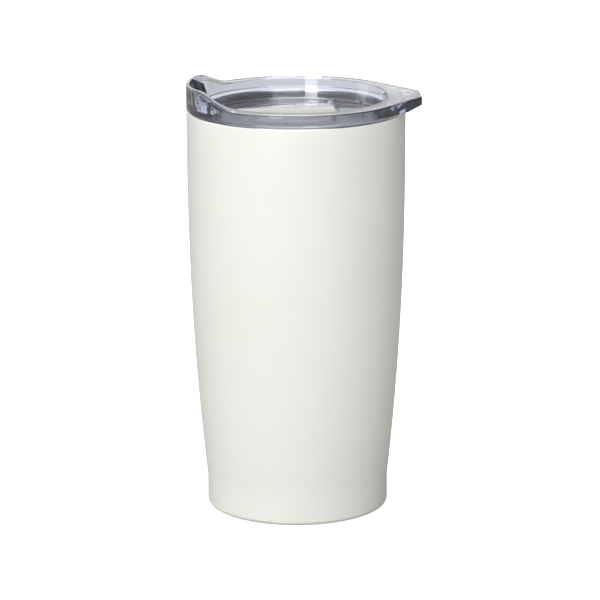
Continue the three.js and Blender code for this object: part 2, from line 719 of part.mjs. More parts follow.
const tumblerBody = new THREE.Group();
tumblerBody.add(
  piece("outer_shell", outerShell(), "paint"),
  piece("liner_wall", linerWall(), "steel"),
  piece("liner_floor", linerFloor(), "steel"),
  piece("radiation_foil", radiationFoil(), "copper"),
  piece("vacuum_closure", vacuumClosure(), "steel"),
  piece("evacuation_seal", evacuationSeal(), "glassSeal"),
  piece("getter_pill", getterPill(), "getter"),
  piece("getter_clip", getterClip(), "steel"),
  piece("base_cap", baseCap(), "steel"),
  piece("base_pad", basePad(), "pad"),
);

const flap = new THREE.Group();
flap.add(piece("closure_flap", closureFlap(), "clear"), piece("closure_seal", closureSeal(), "silicone"));

const lid = new THREE.Group();
lid.add(piece("lid_body", lidBody(), "clear"), piece("lid_gasket", lidGasket(), "silicone"), flap);

const group = new THREE.Group();
group.add(tumblerBody, lid);

export default group;
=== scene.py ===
"""Looks of a double-walled steel tumbler with a clear push-on lid and a flip-up closure.

Profiles are in millimetres, as (radius, height) or (x, y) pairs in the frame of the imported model:
+Z is up the tumbler's axis, the drinking spout is at -X and the thumb tab is at +X.
"""

import logging
import math
from collections.abc import Iterable, Sequence
from dataclasses import dataclass, field
from enum import Enum

import bmesh
import bpy
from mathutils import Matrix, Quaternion, Vector


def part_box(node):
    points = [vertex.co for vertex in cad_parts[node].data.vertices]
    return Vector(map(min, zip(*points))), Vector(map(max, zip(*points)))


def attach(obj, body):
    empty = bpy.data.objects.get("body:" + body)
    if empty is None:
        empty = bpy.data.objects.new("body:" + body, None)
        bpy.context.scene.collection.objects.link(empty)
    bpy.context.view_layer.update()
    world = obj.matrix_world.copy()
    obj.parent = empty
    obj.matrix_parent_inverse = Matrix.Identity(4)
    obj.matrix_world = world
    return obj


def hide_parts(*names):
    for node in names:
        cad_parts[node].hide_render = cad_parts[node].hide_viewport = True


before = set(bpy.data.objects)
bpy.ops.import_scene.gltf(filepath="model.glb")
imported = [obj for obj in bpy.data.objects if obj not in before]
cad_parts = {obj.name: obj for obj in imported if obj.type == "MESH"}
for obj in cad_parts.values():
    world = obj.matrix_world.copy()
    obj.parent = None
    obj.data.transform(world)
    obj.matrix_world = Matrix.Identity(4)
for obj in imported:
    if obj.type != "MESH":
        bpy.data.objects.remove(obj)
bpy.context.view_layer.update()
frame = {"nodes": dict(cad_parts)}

log = logging.getLogger("tumbler")

MM = 0.001
ROUND_STEPS = 224
SMALL_STEPS = 64
SHARP_ANGLE = math.radians(34)
MERGE_DISTANCE = 2e-7
CUT_MARGIN = 0.001

Pair = tuple[float, float]
Triple = tuple[float, float, float]
Colour = tuple[float, float, float]


class Body(str, Enum):
    """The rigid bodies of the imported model."""

    TUMBLER = "tumbler"
    LID = "lid"
    FLAP = "flap"


class Slot(str, Enum):
    """The record's material slots."""

    PAINT = "paint"
    LINER_STEEL = "liner_steel"
    PLAIN_STEEL = "plain_steel"
    COPPER_FOIL = "copper_foil"
    SEALING_GLASS = "sealing_glass"
    GETTER_METAL = "getter_metal"
    PAD_RUBBER = "pad_rubber"
    CLEAR_PLASTIC = "clear_plastic"
    CLEAR_SILICONE = "clear_silicone"


class Cut(str, Enum):
    """The ways two closed meshes are combined."""

    JOIN = "UNION"
    REMOVE = "DIFFERENCE"
    COMMON = "INTERSECT"


# ---- Shader maths ----------------------------------------------------------------------------


class Signal:
    """A shader value that takes part in arithmetic, each operation adding its Math node."""

    def __init__(self, graph: "Graph", socket: bpy.types.NodeSocket) -> None:
        """Wraps an output socket of a graph."""
        self.graph = graph
        self.socket = socket

    def __add__(self, other: "Signal | float") -> "Signal":
        """self + other."""
        return self.graph.math("ADD", self, other)

    def __radd__(self, other: float) -> "Signal":
        """other + self."""
        return self.graph.math("ADD", other, self)

    def __sub__(self, other: "Signal | float") -> "Signal":
        """self - other."""
        return self.graph.math("SUBTRACT", self, other)

    def __rsub__(self, other: float) -> "Signal":
        """other - self."""
        return self.graph.math("SUBTRACT", other, self)

    def __mul__(self, other: "Signal | float") -> "Signal":
        """self * other."""
        return self.graph.math("MULTIPLY", self, other)

    def __rmul__(self, other: float) -> "Signal":
        """other * self."""
        return self.graph.math("MULTIPLY", other, self)


class Graph:
    """The node tree of one new material or world."""

    def __init__(self, name: str, kind: str = "materials") -> None:
        """Makes an empty material, or a world if the kind is "worlds"."""
        self.block = getattr(bpy.data, kind).new(name)
        self.block.use_nodes = True
        self.tree = self.block.node_tree
        self.tree.nodes.clear()

    def node(
        self,
        kind: str,
        settings: dict[str, object] | None = None,
        inputs: dict[str | int, object] | None = None,
    ) -> bpy.types.Node:
        """Adds a node.

        Args:
            kind: The node's type.
            settings: Properties that are set first.
            inputs: Socket name or number to a value, a Signal or an output socket.

        Returns:
            The new node.
        """
        made = self.tree.nodes.new(kind)
        for key, value in (settings or {}).items():
            setattr(made, key, value)
        for key, value in (inputs or {}).items():
            socket = made.inputs[key]
            if isinstance(value, Signal):
                self.tree.links.new(value.socket, socket)
            elif isinstance(value, bpy.types.NodeSocket):
                self.tree.links.new(value, socket)
            else:
                socket.default_value = value
        return made

    def math(self, operation: str, first: "Signal | float", second: "Signal | float" = 0.0) -> Signal:
        """Adds a Math node and returns its result."""
        made = self.node("ShaderNodeMath", {"operation": operation}, {0: first, 1: second})
        return Signal(self, made.outputs[0])

    def coordinates(self) -> bpy.types.NodeSocket:
        """The point on the piece, in metres, which moves with the piece."""
        return self.node("ShaderNodeTexCoord").outputs["Object"]

    def axes(self) -> tuple[Signal, Signal, Signal]:
        """The x, y and z of the point on the piece."""
        split = self.node("ShaderNodeSeparateXYZ", inputs={0: self.coordinates()})
        return tuple(Signal(self, socket) for socket in split.outputs)

    def radius(self) -> Signal:
        """The distance of the point from the tumbler's axis."""
        x, y, _ = self.axes()
        return self.math("SQRT", x * x + y * y)

    def turned_coordinates(self) -> bpy.types.NodeSocket:
        """A coordinate that only changes with radius and height, for marks that run round."""
        _, _, z = self.axes()
        joined = self.node("ShaderNodeCombineXYZ", inputs={"X": self.radius(), "Z": z})
        return joined.outputs[0]

    def noise(
        self,
        scale: float,
        detail: float = 2.0,
        roughness: float = 0.5,
        where: bpy.types.NodeSocket | None = None,
    ) -> Signal:
        """Noise from 0 to 1.

        Args:
            scale: Features per metre.
            detail: Octaves.
            roughness: Strength of the finer octaves.
            where: The coordinate, or None for the point on the piece.

        Returns:
            The noise value.
        """
        inputs = {
            "Vector": where or self.coordinates(),
            "Scale": scale,
            "Detail": detail,
            "Roughness": roughness,
        }
        return Signal(self, self.node("ShaderNodeTexNoise", inputs=inputs).outputs["Fac"])

    def ramp(
        self,
        value: Signal,
        low: float,
        high: float,
        to_low: float = 0.0,
        to_high: float = 1.0,
    ) -> Signal:
        """Takes a value from low..high to to_low..to_high, with soft ends, clamped."""
        inputs = {"Value": value, 1: low, 2: high, 3: to_low, 4: to_high}
        made = self.node("ShaderNodeMapRange", {"interpolation_type": "SMOOTHSTEP"}, inputs)
        return Signal(self, made.outputs[0])

    def blend(self, share: Signal, first: "Colour | Signal", second: "Colour | Signal") -> Signal:
        """Mixes two colours by a share from 0 to 1."""
        made = self.node("ShaderNodeMix", {"data_type": "RGBA"}, {"Factor": share})
        for socket, colour in ((made.inputs[6], first), (made.inputs[7], second)):
            if isinstance(colour, Signal):
                self.tree.links.new(colour.socket, socket)
            else:
                socket.default_value = (*colour, 1.0)
        return Signal(self, made.outputs[2])

    def bump(self, height: Signal, distance: float, strength: float = 1.0) -> Signal:
        """A normal from a height that spans a distance in metres."""
        inputs = {"Height": height, "Distance": distance, "Strength": strength}
        return Signal(self, self.node("ShaderNodeBump", inputs=inputs).outputs[0])

    def mix_shaders(self, share: Signal, first: bpy.types.Node, second: bpy.types.Node) -> bpy.types.Node:
        """Mixes two shader nodes by a share from 0 to 1."""
        inputs = {0: share, 1: first.outputs[0], 2: second.outputs[0]}
        return self.node("ShaderNodeMixShader", inputs=inputs)

    def principled(
        self,
        inputs: dict[str | int, object],
        volume: bpy.types.Node | None = None,
    ) -> bpy.types.Material:
        """Ends the graph in a Principled shader.

        Args:
            inputs: The shader's socket values and links.
            volume: A volume shader's node, if the material has one.

        Returns:
            The finished material.
        """
        shader = self.node("ShaderNodeBsdfPrincipled", inputs=inputs)
        output = self.node("ShaderNodeOutputMaterial", inputs={"Surface": shader.outputs[0]})
        if volume is not None:
            self.tree.links.new(volume.outputs[0], output.inputs["Volume"])
        return self.block


# ---- Finishes --------------------------------------------------------------------------------


def opaque(colour: Colour) -> tuple[float, float, float, float]:
    """A colour with full alpha."""
    return (*colour, 1.0)


def scaled(colour: Colour, factor: float) -> Colour:
    """A colour made darker or lighter by a factor."""
    return tuple(min(1.0, factor * part) for part in colour)


@dataclass(frozen=True)
class SatinPaint:
    """Sprayed off-white paint over steel, which is left bare on the rim and inside the foot's hem."""

    name: str = "satin_offwhite_paint"
    colour: Colour = (0.80, 0.822, 0.772)
    warm_colour: Colour = (0.765, 0.785, 0.728)
    steel_colour: Colour = (0.60, 0.60, 0.59)
    roughness: float = 0.36
    bare_polish: float = 0.12
    coat: float = 0.25
    coat_roughness: float = 0.12
    cloud_scale: float = 22.0
    gloss_scale: float = 90.0
    speck_scale: float = 2600.0
    peel_scale: float = 620.0
    fine_peel_scale: float = 2046.0
    peel_depth: float = 0.04 * MM
    rim_line: float = 165.6 * MM
    rim_blend: float = 0.15 * MM
    hem_radius: float = 34.5 * MM
    hem_blend: float = 0.2 * MM
    hem_top: float = 6.0 * MM
    hem_top_blend: float = 0.5 * MM

    def bare_steel(self, graph: Graph) -> Signal:
        """A mask of the steel without paint: the rim, and the hem's inside."""
        _, _, z = graph.axes()
        rim = graph.ramp(z, self.rim_line, self.rim_line + self.rim_blend)
        inside = graph.ramp(graph.radius(), self.hem_radius - self.hem_blend, self.hem_radius, 1.0, 0.0)
        low = graph.ramp(z, self.hem_top - self.hem_top_blend, self.hem_top, 1.0, 0.0)
        return graph.math("MAXIMUM", rim, inside * low)

    def material(self) -> bpy.types.Material:
        """The material."""
        graph = Graph(self.name)
        bare = self.bare_steel(graph)
        clouds = graph.ramp(graph.noise(self.cloud_scale, 3.0), 0.35, 0.7)
        specks = graph.ramp(graph.noise(self.speck_scale, 1.0), 0.66, 0.72)
        paint = graph.blend(clouds * 0.5 + specks * 0.25, self.colour, self.warm_colour)
        gloss = self.roughness + graph.noise(self.gloss_scale, 3.0) * 0.05 - specks * 0.04
        peel = graph.noise(self.peel_scale, 2.0) + graph.noise(self.fine_peel_scale, 1.0) * 0.3
        return graph.principled(
            {
                "Base Color": graph.blend(bare, paint, self.steel_colour),
                "Metallic": bare,
                "Roughness": gloss - bare * self.bare_polish,
                "Normal": graph.bump(peel, self.peel_depth),
                "IOR": 1.5,
                "Coat Weight": self.coat,
                "Coat Roughness": self.coat_roughness,
            }
        )


@dataclass(frozen=True)
class TurnedSteel:
    """Bare stainless steel with fine marks that run round the axis."""

    name: str
    colour: Colour = (0.60, 0.595, 0.585)
    darkening: float = 0.8
    roughness: float = 0.24
    ring_scale: float = 2400.0
    broad_scale: float = 160.0
    stain_scale: float = 38.0
    ring_depth: float = 0.012 * MM

    def material(self) -> bpy.types.Material:
        """The material."""
        graph = Graph(self.name)
        rings = graph.noise(self.ring_scale, 3.0, 0.7, graph.turned_coordinates())
        broad = graph.noise(self.broad_scale, 2.0, 0.5, graph.turned_coordinates())
        stain = graph.ramp(graph.noise(self.stain_scale, 4.0), 0.45, 0.75)
        gloss = rings * 0.12 + stain * 0.06 - 0.06
        return graph.principled(
            {
                "Base Color": graph.blend(
                    rings * 0.5 + stain * 0.2, self.colour, scaled(self.colour, self.darkening)
                ),
                "Metallic": 1.0,
                "Roughness": self.roughness + gloss,
                "Normal": graph.bump(rings + broad, self.ring_depth),
            }
        )


@dataclass(frozen=True)
class SheetMetal:
    """Rolled sheet or foil with a straight grain and a slightly uneven tone."""

    name: str
    colour: Colour
    metallic: float = 1.0
    roughness: float = 0.34
    darkening: float = 0.72
    grain_scale: Triple = (60.0, 2600.0, 2600.0)
    cloud_scale: float = 120.0
    grain_depth: float = 0.02 * MM

    def material(self) -> bpy.types.Material:
        """The material."""
        graph = Graph(self.name)
        inputs = {"Vector": graph.coordinates(), "Scale": self.grain_scale}
        stretched = graph.node("ShaderNodeMapping", inputs=inputs)
        grain = graph.noise(1.0, 3.0, 0.6, stretched.outputs[0])
        cloud = graph.noise(self.cloud_scale, 4.0)
        tone = grain * 0.4 + cloud * 0.4
        return graph.principled(
            {
                "Base Color": graph.blend(tone, self.colour, scaled(self.colour, self.darkening)),
                "Metallic": self.metallic,
                "Roughness": self.roughness + grain * 0.15,
                "Normal": graph.bump(grain + cloud, self.grain_depth),
            }
        )


@dataclass(frozen=True)
class ClearPlastic:
    """Polished clear copolyester, tinted by its thickness, with flow waves that are deeper outside."""

    name: str
    tint: Colour = (0.57, 0.63, 0.84)
    density: float = 48.0
    clarity: float = 0.965
    haze: Colour = (0.93, 0.94, 0.97)
    roughness: float = 0.018
    refraction: float = 1.54
    wave_scale: float = 55.0
    wave_depth: float = 0.03 * MM
    outer_wave_scale: float = 150.0
    outer_waves: float = 6.0
    outer_start: float = 43.0 * MM
    outer_full: float = 44.0 * MM
    scuff_scale: float = 900.0

    def material(self) -> bpy.types.Material:
        """The material."""
        graph = Graph(self.name)
        outside = graph.ramp(graph.radius(), self.outer_start, self.outer_full)
        deeper = outside * self.outer_waves * graph.noise(self.outer_wave_scale, 3.0, 0.6)
        waves = graph.noise(self.wave_scale, 2.0) + deeper
        scuffs = graph.ramp(graph.noise(self.scuff_scale, 2.0), 0.62, 0.8)
        inputs = {"Color": opaque(self.tint), "Density": self.density}
        absorption = graph.node("ShaderNodeVolumeAbsorption", inputs=inputs)
        return graph.principled(
            {
                "Base Color": opaque(self.haze),
                "Roughness": self.roughness + scuffs * 0.03,
                "Normal": graph.bump(waves, self.wave_depth),
                "Transmission Weight": self.clarity,
                "IOR": self.refraction,
            },
            absorption,
        )


@dataclass(frozen=True)
class MilkySilicone:
    """Translucent silicone rubber with a dusty sheen."""

    name: str = "milky_silicone"
    colour: Colour = (0.80, 0.81, 0.81)
    darkening: float = 0.88
    roughness: float = 0.38
    dust_scale: float = 700.0
    dust_depth: float = 0.03 * MM
    clarity: float = 0.45
    refraction: float = 1.41
    sheen: float = 0.1

    def material(self) -> bpy.types.Material:
        """The material."""
        graph = Graph(self.name)
        dust = graph.noise(self.dust_scale, 3.0)
        return graph.principled(
            {
                "Base Color": graph.blend(dust * 0.6, self.colour, scaled(self.colour, self.darkening)),
                "Roughness": self.roughness + dust * 0.2,
                "Normal": graph.bump(dust, self.dust_depth),
                "Transmission Weight": self.clarity,
                "IOR": self.refraction,
                "Sheen Weight": self.sheen,
            }
        )


@dataclass(frozen=True)
class PadRubber:
    """Matte grey rubber with a fine grain and paler worn spots."""

    name: str = "pad_rubber"
    colour: Colour = (0.20, 0.205, 0.205)
    lightening: float = 1.5
    roughness: float = 0.7
    grain_scale: float = 1800.0
    grain_depth: float = 0.12 * MM
    wear_scale: float = 140.0

    def material(self) -> bpy.types.Material:
        """The material."""
        graph = Graph(self.name)
        grain = graph.noise(self.grain_scale, 3.0, 0.6)
        wear = graph.ramp(graph.noise(self.wear_scale, 4.0), 0.5, 0.7)
        tone = wear * 0.5 + grain * 0.3
        return graph.principled(
            {
                "Base Color": graph.blend(tone, self.colour, scaled(self.colour, self.lightening)),
                "Roughness": self.roughness + grain * 0.2,
                "Normal": graph.bump(grain, self.grain_depth),
            }
        )


@dataclass(frozen=True)
class FusedGlass:
    """The dark, glossy sealing glass of the evacuation hole."""

    name: str = "fused_sealing_glass"
    colour: Colour = (0.07, 0.08, 0.075)
    lightening: float = 3.0
    roughness: float = 0.12
    bubble_scale: float = 1500.0
    bubble_depth: float = 0.1 * MM

    def material(self) -> bpy.types.Material:
        """The material."""
        graph = Graph(self.name)
        bubbles = graph.noise(self.bubble_scale, 3.0)
        tone = graph.ramp(bubbles, 0.5, 0.8)
        return graph.principled(
            {
                "Base Color": graph.blend(tone, self.colour, scaled(self.colour, self.lightening)),
                "Roughness": self.roughness + bubbles * 0.15,
                "Normal": graph.bump(bubbles, self.bubble_depth),
            }
        )


# ---- Mesh work -------------------------------------------------------------------------------


def arc(centre: Pair, radius: float, start: float, end: float, steps: int = 8) -> list[Pair]:
    """Points along a circular arc.

    Args:
        centre: The arc's centre.
        radius: Its radius.
        start: The first angle in degrees.
        end: The last angle in degrees.
        steps: The number of steps between them.

    Returns:
        The points, both ends included.
    """
    angles = (math.radians(start + (end - start) * i / steps) for i in range(steps + 1))
    return [(centre[0] + radius * math.cos(a), centre[1] + radius * math.sin(a)) for a in angles]


def smoother(value: float) -> float:
    """A step from 0 to 1 with soft ends, for a value from 0 to 1."""
    v = min(max(value, 0.0), 1.0)
    return v * v * v * (v * (6 * v - 15) + 10)


def between(first: Pair, second: Pair, share: float) -> Pair:
    """The point at a share of the way from first to second."""
    return (first[0] + (second[0] - first[0]) * share, first[1] + (second[1] - first[1]) * share)


def finish_mesh(
    name: str,
    vertices: Iterable[Triple],
    faces: Iterable[Sequence[int]],
) -> bpy.types.Object:
    """Makes a closed, smooth-shaded piece from points in millimetres.

    Args:
        name: The piece's name.
        vertices: Its points.
        faces: Vertex numbers of each face.

    Returns:
        The linked object.
    """
    mesh = bpy.data.meshes.new(name)
    mesh.from_pydata([tuple(part * MM for part in point) for point in vertices], [], list(faces))
    work = bmesh.new()
    work.from_mesh(mesh)
    bmesh.ops.remove_doubles(work, verts=work.verts, dist=MERGE_DISTANCE)
    bmesh.ops.dissolve_degenerate(work, edges=work.edges, dist=MERGE_DISTANCE)
    bmesh.ops.recalc_face_normals(work, faces=work.faces)
    work.to_mesh(mesh)
    work.free()
    made = bpy.data.objects.new(name, mesh)
    bpy.context.scene.collection.objects.link(made)
    shade(made)
    return made


def shade(piece: bpy.types.Object) -> None:
    """Shades a mesh smooth, apart from its sharp edges."""
    piece.data.shade_smooth()
    piece.data.set_sharp_from_angle(angle=SHARP_ANGLE)


def grid_faces(rows: int, columns: int) -> list[tuple[int, int, int, int]]:
    """The faces of a grid of points whose rows and columns both join up into rings."""
    faces = []
    for i in range(rows):
        after = (i + 1) % rows
        for j in range(columns):
            beside = (j + 1) % columns
            row, next_row = i * columns, after * columns
            faces.append((row + j, row + beside, next_row + beside, next_row + j))
    return faces


def spun(name: str, sections: Sequence[tuple[float, Sequence[Pair]]]) -> bpy.types.Object:
    """A closed solid from one closed profile for each angle about the axis.

    Args:
        name: The piece's name.
        sections: (angle in radians, profile) pairs; all profiles have as many points.

    Returns:
        The piece. Points on the axis are merged into one.
    """
    points = [
        (r * math.cos(angle), r * math.sin(angle), z) for angle, profile in sections for r, z in profile
    ]
    columns = len(sections[0][1])
    faces = grid_faces(len(sections), columns)
    if sections[0][1][0][0] == 0.0 and sections[0][1][-1][0] == 0.0:
        faces = [face for face in faces if face[0] % columns != columns - 1]
    return finish_mesh(name, points, faces)


def turned(name: str, profile: Sequence[Pair], steps: int = ROUND_STEPS) -> bpy.types.Object:
    """A solid of revolution from a profile that closes on itself or starts and ends on the axis."""
    return spun(name, [(2 * math.pi * i / steps, profile) for i in range(steps)])


def prism(
    name: str,
    outline: Sequence[Pair],
    low: float,
    high: float,
    across: bool = False,
) -> bpy.types.Object:
    """A straight prism.

    Args:
        name: The piece's name.
        outline: Its outline in XY, or in XZ where it runs across.
        low: The lower end, in Z, or in Y where it runs across.
        high: The upper end.
        across: Whether it runs along Y.

    Returns:
        The piece.
    """
    count = len(outline)
    points = []
    for end in (low, high):
        points += [(u, end, v) if across else (u, v, end) for u, v in outline]
    sides = [(i, (i + 1) % count, (i + 1) % count + count, i + count) for i in range(count)]
    caps = [tuple(range(count)), tuple(range(count, 2 * count))]
    return finish_mesh(name, points, sides + caps)


def soften(piece: bpy.types.Object, width: float, steps: int = 3, angle: float = 30.0) -> None:
    """Rounds a piece's sharp edges.

    Args:
        piece: The piece.
        width: The rounding in millimetres.
        steps: The rounding's segments.
        angle: Edges that turn by more than this many degrees are rounded.
    """
    bevel = piece.modifiers.new("soft_edges", "BEVEL")
    bevel.width = width * MM
    bevel.segments = steps
    bevel.limit_method = "ANGLE"
    bevel.angle_limit = math.radians(angle)
    bake_modifiers(piece)


def shift(piece: bpy.types.Object, x: float, y: float = 0.0) -> None:
    """Moves a piece's points along X and Y, in millimetres."""
    for vertex in piece.data.vertices:
        vertex.co.x += x * MM
        vertex.co.y += y * MM


def bake_modifiers(piece: bpy.types.Object) -> None:
    """Turns a piece's modifiers into plain mesh."""
    graph = bpy.context.evaluated_depsgraph_get()
    made = bpy.data.meshes.new_from_object(piece.evaluated_get(graph))
    old = piece.data
    piece.modifiers.clear()
    piece.data = made
    bpy.data.meshes.remove(old)
    shade(piece)


def combine(piece: bpy.types.Object, others: Iterable[bpy.types.Object], how: Cut) -> None:
    """Joins, cuts or intersects a piece with others, which are used up."""
    for other in others:
        step = piece.modifiers.new(how.name, "BOOLEAN")
        step.operation = how.value
        step.solver = "EXACT"
        step.object = other
        bake_modifiers(piece)
        bpy.data.objects.remove(other)


def dress(
    piece: bpy.types.Object,
    material: bpy.types.Material,
    body: Body,
    node: str,
) -> None:
    """Finishes a visual piece.

    Args:
        piece: The piece.
        material: Its material.
        body: The rigid body that it rides on.
        node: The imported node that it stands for, which is hidden.
    """
    piece.data.materials.clear()
    piece.data.materials.append(material)
    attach(piece, body.value)
    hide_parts(node)
    log.info("%s: %d faces, on %s", piece.name, len(piece.data.polygons), body.value)


def top_of(node: str) -> float:
    """The height of a node's top, in millimetres."""
    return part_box(node)[1].z / MM


def bottom_of(node: str) -> float:
    """The height of a node's bottom, in millimetres."""
    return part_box(node)[0].z / MM


def reach_of(node: str) -> float:
    """How far a node reaches towards +Y, in millimetres."""
    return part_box(node)[1].y / MM


# ---- Tumbler body ----------------------------------------------------------------------------


@dataclass
class SteelBody:
    """The painted shell, the bare liner and what closes the base, in millimetres."""

    radius: float = field(default_factory=lambda: reach_of("outer_shell"))
    height: float = field(default_factory=lambda: top_of("outer_shell"))
    foot_bottom: float = field(default_factory=lambda: bottom_of("outer_shell"))
    straight_length: float = 9.3
    foot_radius: float = 37.2
    foot_height: float = 12.0
    taper_power: float = 2.25
    foot_corner: float = 1.8
    sheet: float = 0.5
    wall: float = 4.0
    rim_outer: float = 1.2
    rim_inner: float = 1.5
    rim_groove: float = 0.12
    seat_depth: float = 12.0
    hem_height: float = 4.0
    hem_turn: float = 1.0
    seam_height: float = 22.0
    floor_top: float = 12.5
    floor_corner: float = 7.0
    dome_inset: float = 4.0
    dome_rise: float = 0.35
    dome_steps: int = 8
    seam_bead: float = 0.12

    def outer_radius(self, z: float) -> float:
        """Outer radius at a height: straight below the rim, then one long curve down to the foot."""
        straight_start = self.height - self.straight_length
        depth = max(straight_start - z, 0.0) / (straight_start - self.foot_height)
        return self.radius - (self.radius - self.foot_radius) * depth**self.taper_power

    def wall_line(self, low: float, high: float, inset: float, steps: int = 48) -> list[Pair]:
        """Points along the wall from one height to another, set in from the outside."""
        heights = (low + (high - low) * i / steps for i in range(steps + 1))
        return [(self.outer_radius(z) - inset, z) for z in heights]

    def build_shell(self) -> bpy.types.Object:
        """The outer shell with its hemmed foot and the outer half of the rim."""
        corner = (self.foot_radius - self.foot_corner, self.foot_bottom + self.foot_corner)
        turn = (corner[0], self.foot_bottom + self.hem_turn)
        rim = (self.radius - self.rim_outer, self.height - self.rim_outer)
        hem_top = self.foot_bottom + self.hem_height
        hem_inner = corner[0] - self.hem_turn
        weld = rim[0] - self.rim_groove
        straight = self.height - self.straight_length
        outside = [
            (hem_inner, hem_top),
            *arc(turn, self.hem_turn, 180, 270, 6),
            *arc(corner, self.foot_corner, 270, 360, 14)[1:],
            *self.wall_line(self.foot_height, straight, 0.0),
            *arc(rim, self.rim_outer, 0, 90, 10),
            (weld, self.height - self.rim_groove),
        ]
        inside = [
            (weld, self.height - self.sheet),
            *arc(rim, self.rim_outer - self.sheet, 90, 0, 6),
            *self.wall_line(straight, self.foot_height, self.sheet),
            *arc(corner, self.foot_corner - self.sheet, 360, 270, 6),
            *arc(turn, self.hem_turn - self.sheet, 270, 180, 4)[1:],
            (hem_inner + self.sheet, hem_top),
        ]
        return turned("outer_shell_painted", outside + inside)

    def build_liner_wall(self) -> bpy.types.Object:
        """The liner's wall with the inner half of the rim and the bead of its floor weld."""
        rim = (self.radius - self.wall + self.rim_inner, self.height - self.rim_inner)
        weld = self.radius - self.rim_outer - 2 * self.rim_groove
        seat = self.height - self.seat_depth
        seam = self.seam_height
        bead = [
            (self.outer_radius(seam) - self.wall, seam),
            (self.outer_radius(seam) - self.wall - self.seam_bead, seam + 2 * self.seam_bead),
            (self.outer_radius(seam) - self.wall - self.seam_bead, seam + 5 * self.seam_bead),
        ]
        inside = [
            *bead,
            *self.wall_line(seam + 8 * self.seam_bead, seat, self.wall),
            *arc(rim, self.rim_inner, 180, 90, 12),
            (weld, self.height - self.rim_groove),
        ]
        outside = [
            (weld, self.height - self.sheet),
            *arc(rim, self.rim_inner - self.sheet, 90, 180, 8),
            *self.wall_line(seat, seam, self.wall - self.sheet),
        ]
        return turned("liner_wall_turned", inside + outside)

    def build_liner_floor(self) -> bpy.types.Object:
        """The pressed floor of the liner, with a shallow dome in its middle."""
        top = self.seam_height - self.rim_groove
        side = self.outer_radius(top) - self.wall
        corner = (side - self.floor_corner, self.floor_top + self.floor_corner)
        dome_radius = corner[0] - self.dome_inset
        shares = (i / self.dome_steps for i in range(self.dome_steps + 1))
        dome = [(dome_radius * (1 - t), self.floor_top + self.dome_rise * smoother(t)) for t in shares]
        inner = [(side, top), *arc(corner, self.floor_corner, 360, 270, 14), *dome]
        outer = [
            (0.0, self.floor_top - self.sheet),
            *arc(corner, self.floor_corner + self.sheet, 270, 360, 14),
            (side + self.sheet, top),
        ]
        return turned("liner_floor_pressed", outer + inner)

    def build(self, paint: bpy.types.Material, liner: bpy.types.Material) -> None:
        """Builds and dresses the shell and the liner."""
        dress(self.build_shell(), paint, Body.TUMBLER, "outer_shell")
        dress(self.build_liner_wall(), liner, Body.TUMBLER, "liner_wall")
        dress(self.build_liner_floor(), liner, Body.TUMBLER, "liner_floor")


@dataclass
class Base:
    """The spun steel cap under the tumbler and the ribbed pad on it, in millimetres."""

    cap_radius: float = field(default_factory=lambda: reach_of("base_cap"))
    cap_bottom: float = field(default_factory=lambda: bottom_of("base_cap"))
    cap_top: float = field(default_factory=lambda: top_of("base_cap"))
    pad_radius: float = field(default_factory=lambda: reach_of("base_pad"))
    pad_top: float = field(default_factory=lambda: top_of("base_pad"))
    cap_sheet: float = 0.6
    cap_step_radius: float = 30.0
    cap_step_rise: float = 0.25
    cap_step_run: float = 0.3
    cap_step_ease: float = 0.05
    pad_edge: float = 0.3
    groove_pitch: float = 3.0
    groove_depth: float = 0.3
    groove_mouth: float = 1.1
    groove_width: float = 0.8
    groove_count: int = 7

    def build_cap(self) -> bpy.types.Object:
        """The cap, with its pressed step just outside the pad and its turned-up edge."""
        corner = self.cap_top - self.cap_bottom
        centre = (self.cap_radius - corner, self.cap_top)
        step = self.cap_step_radius
        run, ease = self.cap_step_run, self.cap_step_ease
        low, raised = self.cap_bottom, self.cap_bottom + self.cap_step_rise
        return turned(
            "base_cap_spun",
            [
                (0.0, raised),
                (step - 2 * run, raised),
                (step - run, raised - ease),
                (step, low + ease),
                (step + run, low),
                *arc(centre, corner, 270, 360, 8),
                *arc(centre, corner - self.cap_sheet, 360, 270, 6),
                (0.0, low + self.cap_sheet),
            ],
        )

    def build_pad(self) -> bpy.types.Object:
        """The pad, with rings moulded into the face that it stands on."""
        grooves = []
        mouth, width = self.groove_mouth / 2, self.groove_width / 2
        for i in range(1, self.groove_count + 1):
            middle = self.pad_radius - i * self.groove_pitch
            grooves += [
                (middle - mouth, 0.0),
                (middle - width, self.groove_depth),
                (middle + width, self.groove_depth),
                (middle + mouth, 0.0),
            ]
        edge = self.pad_edge
        return turned(
            "base_pad_ribbed",
            [
                (0.0, 0.0),
                *sorted(grooves),
                *arc((self.pad_radius - edge, edge), edge, 270, 360, 5),
                *arc((self.pad_radius - edge, self.pad_top - edge), edge, 0, 90, 5),
                (0.0, self.pad_top),
            ],
        )

    def build(self, steel: bpy.types.Material, rubber: bpy.types.Material) -> None:
        """Builds and dresses the cap and the pad."""
        dress(self.build_cap(), steel, Body.TUMBLER, "base_cap")
        dress(self.build_pad(), rubber, Body.TUMBLER, "base_pad")


